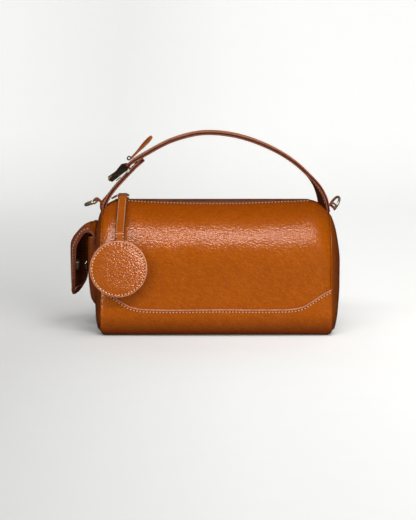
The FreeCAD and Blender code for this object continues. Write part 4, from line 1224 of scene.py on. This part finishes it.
def make_right_ring():
    """D-ring that hangs a little turned in its tab, so that it shows open from the front."""
    reach_way = Vector((math.cos(RIGHT_SLOPE), 0.0, math.sin(RIGHT_SLOPE)))
    square = Vector((-math.sin(RIGHT_SLOPE), 0.0, math.cos(RIGHT_SLOPE)))
    across = Y_WAY * math.cos(RING_TURN) + square * math.sin(RING_TURN)
    outline = RING_HALF + [(0.0, RING_REACH)] + [(-u, v) for u, v in reversed(RING_HALF[1:])]
    bm = ring_wire([RIGHT_BAR + across * u + reach_way * v for u, v in outline], RING_WIRE, 72)
    piece(bm, "right_d_ring_wire", "right_ring", "pale_gold", [pale_gold], ["right_d_ring"])


def make_tabs():
    """Leather loops round the straight sides of the rings."""
    for name, bar, side, radius, half_width in TABS:
        frames = []
        for angle in turns(*TAB_DEGREES, 26):
            up = Vector((side * math.cos(angle), 0.0, math.sin(angle)))
            frames.append((bar + up * radius, Y_WAY, up))
        way = Vector((-side * math.sin(angle), 0.0, math.cos(angle)))
        frames += [(bar + up * radius + way * reach, Y_WAY, up) for reach in TAB_TAIL]
        leather(banded(frames, half_width, 0.0, TAB_LEATHER), name + "_tab_leather", name + "_ring_tab", leather_strap)


# Side pocket and flap

def flap_half_width(z):
    """Half width of the flap at a height: straight, then a round lower end."""
    drop = clamp(FLAP_LOW + FLAP_CORNER - z, 0.0, FLAP_CORNER)
    return FLAP_HALF - FLAP_CORNER + math.sqrt(FLAP_CORNER * FLAP_CORNER - drop * drop)


def flap_place(across, along):
    """Point of the bowed and slightly twisted flap; across runs from -1 at the front to 1 at the back."""
    spots = []
    for curve in (FLAP_NEAR, FLAP_MIDDLE, FLAP_FAR):
        rows = [(index / (len(curve) - 1), *pair) for index, pair in enumerate(curve)]
        spots.append(Vector(along_rows(rows, along)))
    near, middle, far = spots
    x, z = middle + (far - near) * (across / 2) + ((near + far) / 2 - middle) * across * across
    return Vector((x, across * FLAP_HALF, z))


def flap_up(across, along):
    """Direction out of the flap's outer face."""
    along = clamp(along, 0.01, 0.99)
    down = flap_place(across, along + 0.01) - flap_place(across, along - 0.01)
    over = flap_place(across + 0.02, along) - flap_place(across - 0.02, along)
    return over.cross(down).normalized() * (1.0 if over.cross(down).x < 0 else -1.0)


def make_pocket():
    """Open pouch on the left gusset."""
    rows = []
    for z in between(POCKET_TOP, POCKET_BOTTOM, 26):
        out = POCKET_FACE * along_rows(POCKET_PROFILE, z / POCKET_TOP)[0]
        half = POCKET_HALF
        drop = POCKET_BOTTOM + POCKET_CORNER - z
        if drop > 0:
            half -= POCKET_CORNER - math.sqrt(max(POCKET_CORNER * POCKET_CORNER - drop * drop, 0.0))
            out -= POCKET_TUCK * (drop / POCKET_CORNER) ** 2
        front = [(x, -half) for x in between(POCKET_SEAT, out - POCKET_EDGE, 4)]
        for angle in turns(0.0, 90.0, 6)[1:]:
            x = out - POCKET_EDGE + POCKET_EDGE * math.sin(angle)
            front.append((x, POCKET_EDGE - half - POCKET_EDGE * math.cos(angle)))
        face = [(out, y) for y in between(POCKET_EDGE - half, half - POCKET_EDGE, 12)[1:-1]]
        back = [(x, -y) for x, y in front[::-1]]
        rows.append([Vector((-x, y, z)) for x, y in front + face + back])
    # The pocket takes the darker tan of painted shade.
    leather(sheet(rows, POCKET_MIDDLE), "side_pocket_leather", "side_pocket", end_leather_painted_shade, wall=PANEL_WALL, rim=1)


def flap_rows(steps, low, high):
    """Rows of points round a layer of the flap, and the numbers of its painted sides."""
    outline, painted = strap_outline(1.0, low, high, 0.0, 13)
    rows = []
    for step in steps:
        half = flap_half_width(flap_place(0.0, step).z)
        row = []
        for across, lift in outline:
            edge = clamp(abs(across) - FLAP_FLAT, 0.0, 1 - FLAP_FLAT) / (1 - FLAP_FLAT)
            reach = half - (1 - edge) * FLAP_EDGE if edge > 0 else abs(across) / FLAP_FLAT * (half - FLAP_EDGE)
            share = math.copysign(reach, across) / FLAP_HALF
            row.append(flap_place(share, step) + flap_up(share, step) * lift)
        rows.append(row)
    return rows, painted


def make_flap():
    """Two layers of the flap and the stitches round them."""
    steps = between(0.0, 1.0, 44)
    for name, layer, node_name, finish in (
        ("pocket_flap_leather", (0.0, FLAP_FACE), "pocket_flap", leather_body),
        # The lining takes the darkest tan: painted shade.
        ("flap_lining_leather", FLAP_BACK, "flap_lining", dark_leather_painted_shade),
    ):
        rows, painted = flap_rows(steps, *layer)
        leather(hose(rows, paint=painted), name, node_name, finish, "flap")

    sewn = bmesh.new()
    down = [((flap_half_width(flap_place(0.0, step).z) - FLAP_SEAM) / FLAP_HALF, step) for step in steps[1:-3]]
    reach, lowest = down[-1]
    path = [(-across, step) for across, step in down]
    path += [(reach * share, lowest) for share in between(-1.0, 1.0, 8)[1:-1]]
    path += down[::-1]
    for side in (1, -1):
        lift = side * FLAP_FACE
        stitch_row(sewn, [(flap_place(*spot) + flap_up(*spot) * lift, flap_up(*spot) * side) for spot in path])
    stitches(sewn, "flap_stitches", "flap")


def make_root():
    """Root of the flap: an arched strip, sewn to the gusset below and bent up to the fold."""
    rows = []
    for share in between(0.0, 1.0, 12):
        row = []
        for step in between(-1.0, 1.0, 19):
            y = step * FLAP_HALF
            z = ROOT_TOP - ROOT_DROP * step * step
            start = Vector((-gusset_out(y, z) - ROOT_LIFT, y, z))
            if share < ROOT_SEWN:
                place = (start - ROOT_SEAM).lerp(start, share / ROOT_SEWN)
            else:
                bent = (share - ROOT_SEWN) / (1 - ROOT_SEWN)
                place = start.lerp(flap_place(step, 0.03), bent)
                place.z += ROOT_BULGE * math.sin(math.pi * bent)
            row.append(place)
        rows.append(row)
    bm = sheet(rows, Vector((POCKET_MIDDLE.x, 0.0, 90.0)))
    # The root takes the darker tan of painted shade.
    leather(bm, "flap_root_leather", "flap_root", end_leather_painted_shade, wall=FLAP_FACE, rim=1)


# Finishes of the pieces kept from the frame
KEPT = {
    "front_zip_teeth": zip_metal, "back_zip_teeth": zip_metal, "zip_stops": zip_metal, "zip_slider": pale_gold,
    "buckle_frame": dark_brass, "buckle_bar": pale_gold, "buckle_prong": dark_brass,
    "left_d_ring": pale_gold, "tongue_ring": pale_gold, "strap_stud": pale_gold,
    "anchor_eyelet": pale_gold, "snap_stud": pale_gold, "snap_socket": pale_gold, "base_board": board_fibre,
}


def finish_kept():
    """Gives the pieces kept from the frame their finishes."""
    for name, finish in KEPT.items():
        materials = frame["nodes"][name].data.materials
        materials.clear()
        materials.append(finish)


# Studio

def in_scene(name, data):
    """New object in the scene."""
    made = bpy.data.objects.new(name, data)
    bpy.context.scene.collection.objects.link(made)
    return made


def paper_finish():
    """White paper with painted shade towards the left and the viewer, and painted light: it glows where it rises
    behind the bag, more on the left, and in a pool to the right of the bag.
    """
    made, tree, shader = new_material("paper_sweep")
    where = object_place(tree)
    parts = node(tree, "ShaderNodeSeparateXYZ", {"Vector": where})
    x, y = parts.outputs["X"], parts.outputs["Y"]
    paper = (FLOOR_TONE, FLOOR_TONE, FLOOR_TONE * WARM_WHITE)
    tone = ramp(tree, cloudy(tree, where, 30.0, 3.0), [(0.3, paper), (0.7, [share * 1.01 for share in paper])])
    # Painted shade: darker towards the left, on the side of the bag's shadow, and towards the viewer.
    painted_shade_level = number(tree, "MULTIPLY", ranged(tree, x, -0.2, 0.02, 0.84), ranged(tree, y, -0.7, -0.08, 0.8))
    tree.links.new(mixed(tree, painted_shade_level, (0.0, 0.0, 0.0), tone), shader.inputs["Base Color"])
    # Painted light: glow where the paper rises, stronger to the left, and a pool to the right of the bag.
    raised = ranged(tree, y, 0.2, 1.6, 0.0, PAINTED_GLOW)
    leftwards = ranged(tree, x, -0.5, 0.0, 1.5, 1.0)
    painted_light_pool = ranged(tree, x, -0.18, 0.18, 0.0, PAINTED_POOL_LIGHT)
    near = ranged(tree, y, 0.2, 1.2, 1.0, 0.35)
    lifted = number(tree, "MULTIPLY", raised, leftwards)
    glow = number(tree, "ADD", lifted, number(tree, "MULTIPLY", painted_light_pool, near))
    tree.links.new(glow, shader.inputs["Emission Strength"])
    shader.inputs["Emission Color"].default_value = (1.0, 1.0, WARM_WHITE, 1.0)
    shader.inputs["Roughness"].default_value = 0.9
    shader.inputs["Specular IOR Level"].default_value = 0.1
    return made


def make_sweep():
    """Paper floor that curves up behind the bag; in metres."""
    bend, radius = 1.1, 1.2
    profile = [(-2.6, 0.0), (bend, 0.0)]
    for angle in turns(0.0, 90.0, 20)[1:]:
        profile.append((bend + radius * math.sin(angle), radius - radius * math.cos(angle)))
    profile.append((bend + radius, 4.0))
    bm = sheet([[Vector((x, y, z)) for y, z in profile] for x in (-4.0, 4.0)], Vector((0.0, 3.0, -3.0)))
    mesh = bpy.data.meshes.new("studio_sweep")
    bm.to_mesh(mesh)
    bm.free()
    mesh.shade_smooth()
    mesh.materials.append(paper_finish())
    sweep = in_scene("studio_sweep", mesh)
    sweep.visible_glossy = False


def make_lights():
    """Softboxes round the bag; two of them light only the pieces that glint in the photo."""
    for name, azimuth, elevation, distance, wide, high, power, glossy, lit_names in (
        ("key_softbox", -6.0, 51.0, 2.6, 3.0, 0.3, 38.0, True, ()),
        ("tag_glint", 26.0, -3.0, 2.6, 0.75, 0.85, 50.0, True, ("tag_",)),
        ("rim_glint", -54.0, 32.0, 2.4, 0.7, 2.0, 22.0, True, ("front_leather", "base_leather")),
        ("front_fill", 34.0, 20.0, 3.2, 1.6, 1.6, 31.0, False, ()),
        ("top_softbox", 60.0, 68.0, 2.6, 1.6, 1.0, 14.0, False, ()),
    ):
        light = bpy.data.lights.new(name, "AREA")
        light.shape = "RECTANGLE"
        light.size = wide
        light.size_y = high
        light.energy = power
        lamp = in_scene(name, light)
        across, lift = math.radians(azimuth), math.radians(elevation)
        way = Vector((math.sin(across) * math.cos(lift), -math.cos(across) * math.cos(lift), math.sin(lift)))
        lamp.location = AIM + way * distance
        lamp.rotation_euler = (-way).to_track_quat("-Z", "Y").to_euler()
        lamp.visible_glossy = glossy
        if lit_names:
            lit = bpy.data.collections.new(name + "_pieces")
            for made in bpy.context.scene.objects:
                if made.name.startswith(lit_names):
                    lit.objects.link(made)
            lamp.light_linking.receiver_collection = lit


def make_air():
    """Soft light from all round, kept out of the reflections."""
    world = bpy.data.worlds.new("studio_air")
    world.use_nodes = True
    air = world.node_tree
    air.nodes.clear()
    soft = node(air, "ShaderNodeBackground", {"Color": (1.0, 1.0, 0.99, 1.0), "Strength": 0.22})
    node(air, "ShaderNodeOutputWorld", {"Surface": soft.outputs[0]})
    world.cycles_visibility.glossy = False
    bpy.context.scene.world = world


def make_camera():
    """Camera of the photo, a little above the bag."""
    lens = bpy.data.cameras.new("photo_camera")
    lens.lens = 103.85
    lens.sensor_width = 36.0
    camera = in_scene("photo_camera", lens)
    back = Vector((0.0, -math.cos(CAMERA_TILT), math.sin(CAMERA_TILT)))
    camera.location = CAMERA_AIM + back * CAMERA_AWAY
    camera.rotation_euler = (math.radians(90.0) - CAMERA_TILT, 0.0, 0.0)
    bpy.context.scene.camera = camera
    bpy.context.scene.view_settings.view_transform = "Standard"


for make in (
    make_barrel, make_ends, make_inside, make_zip, make_tag, make_handle, make_fold, make_buckle_ends,
    make_right_ring, make_tabs, make_pocket, make_flap, make_root, finish_kept,
    make_sweep, make_lights, make_air, make_camera,
):
    make()
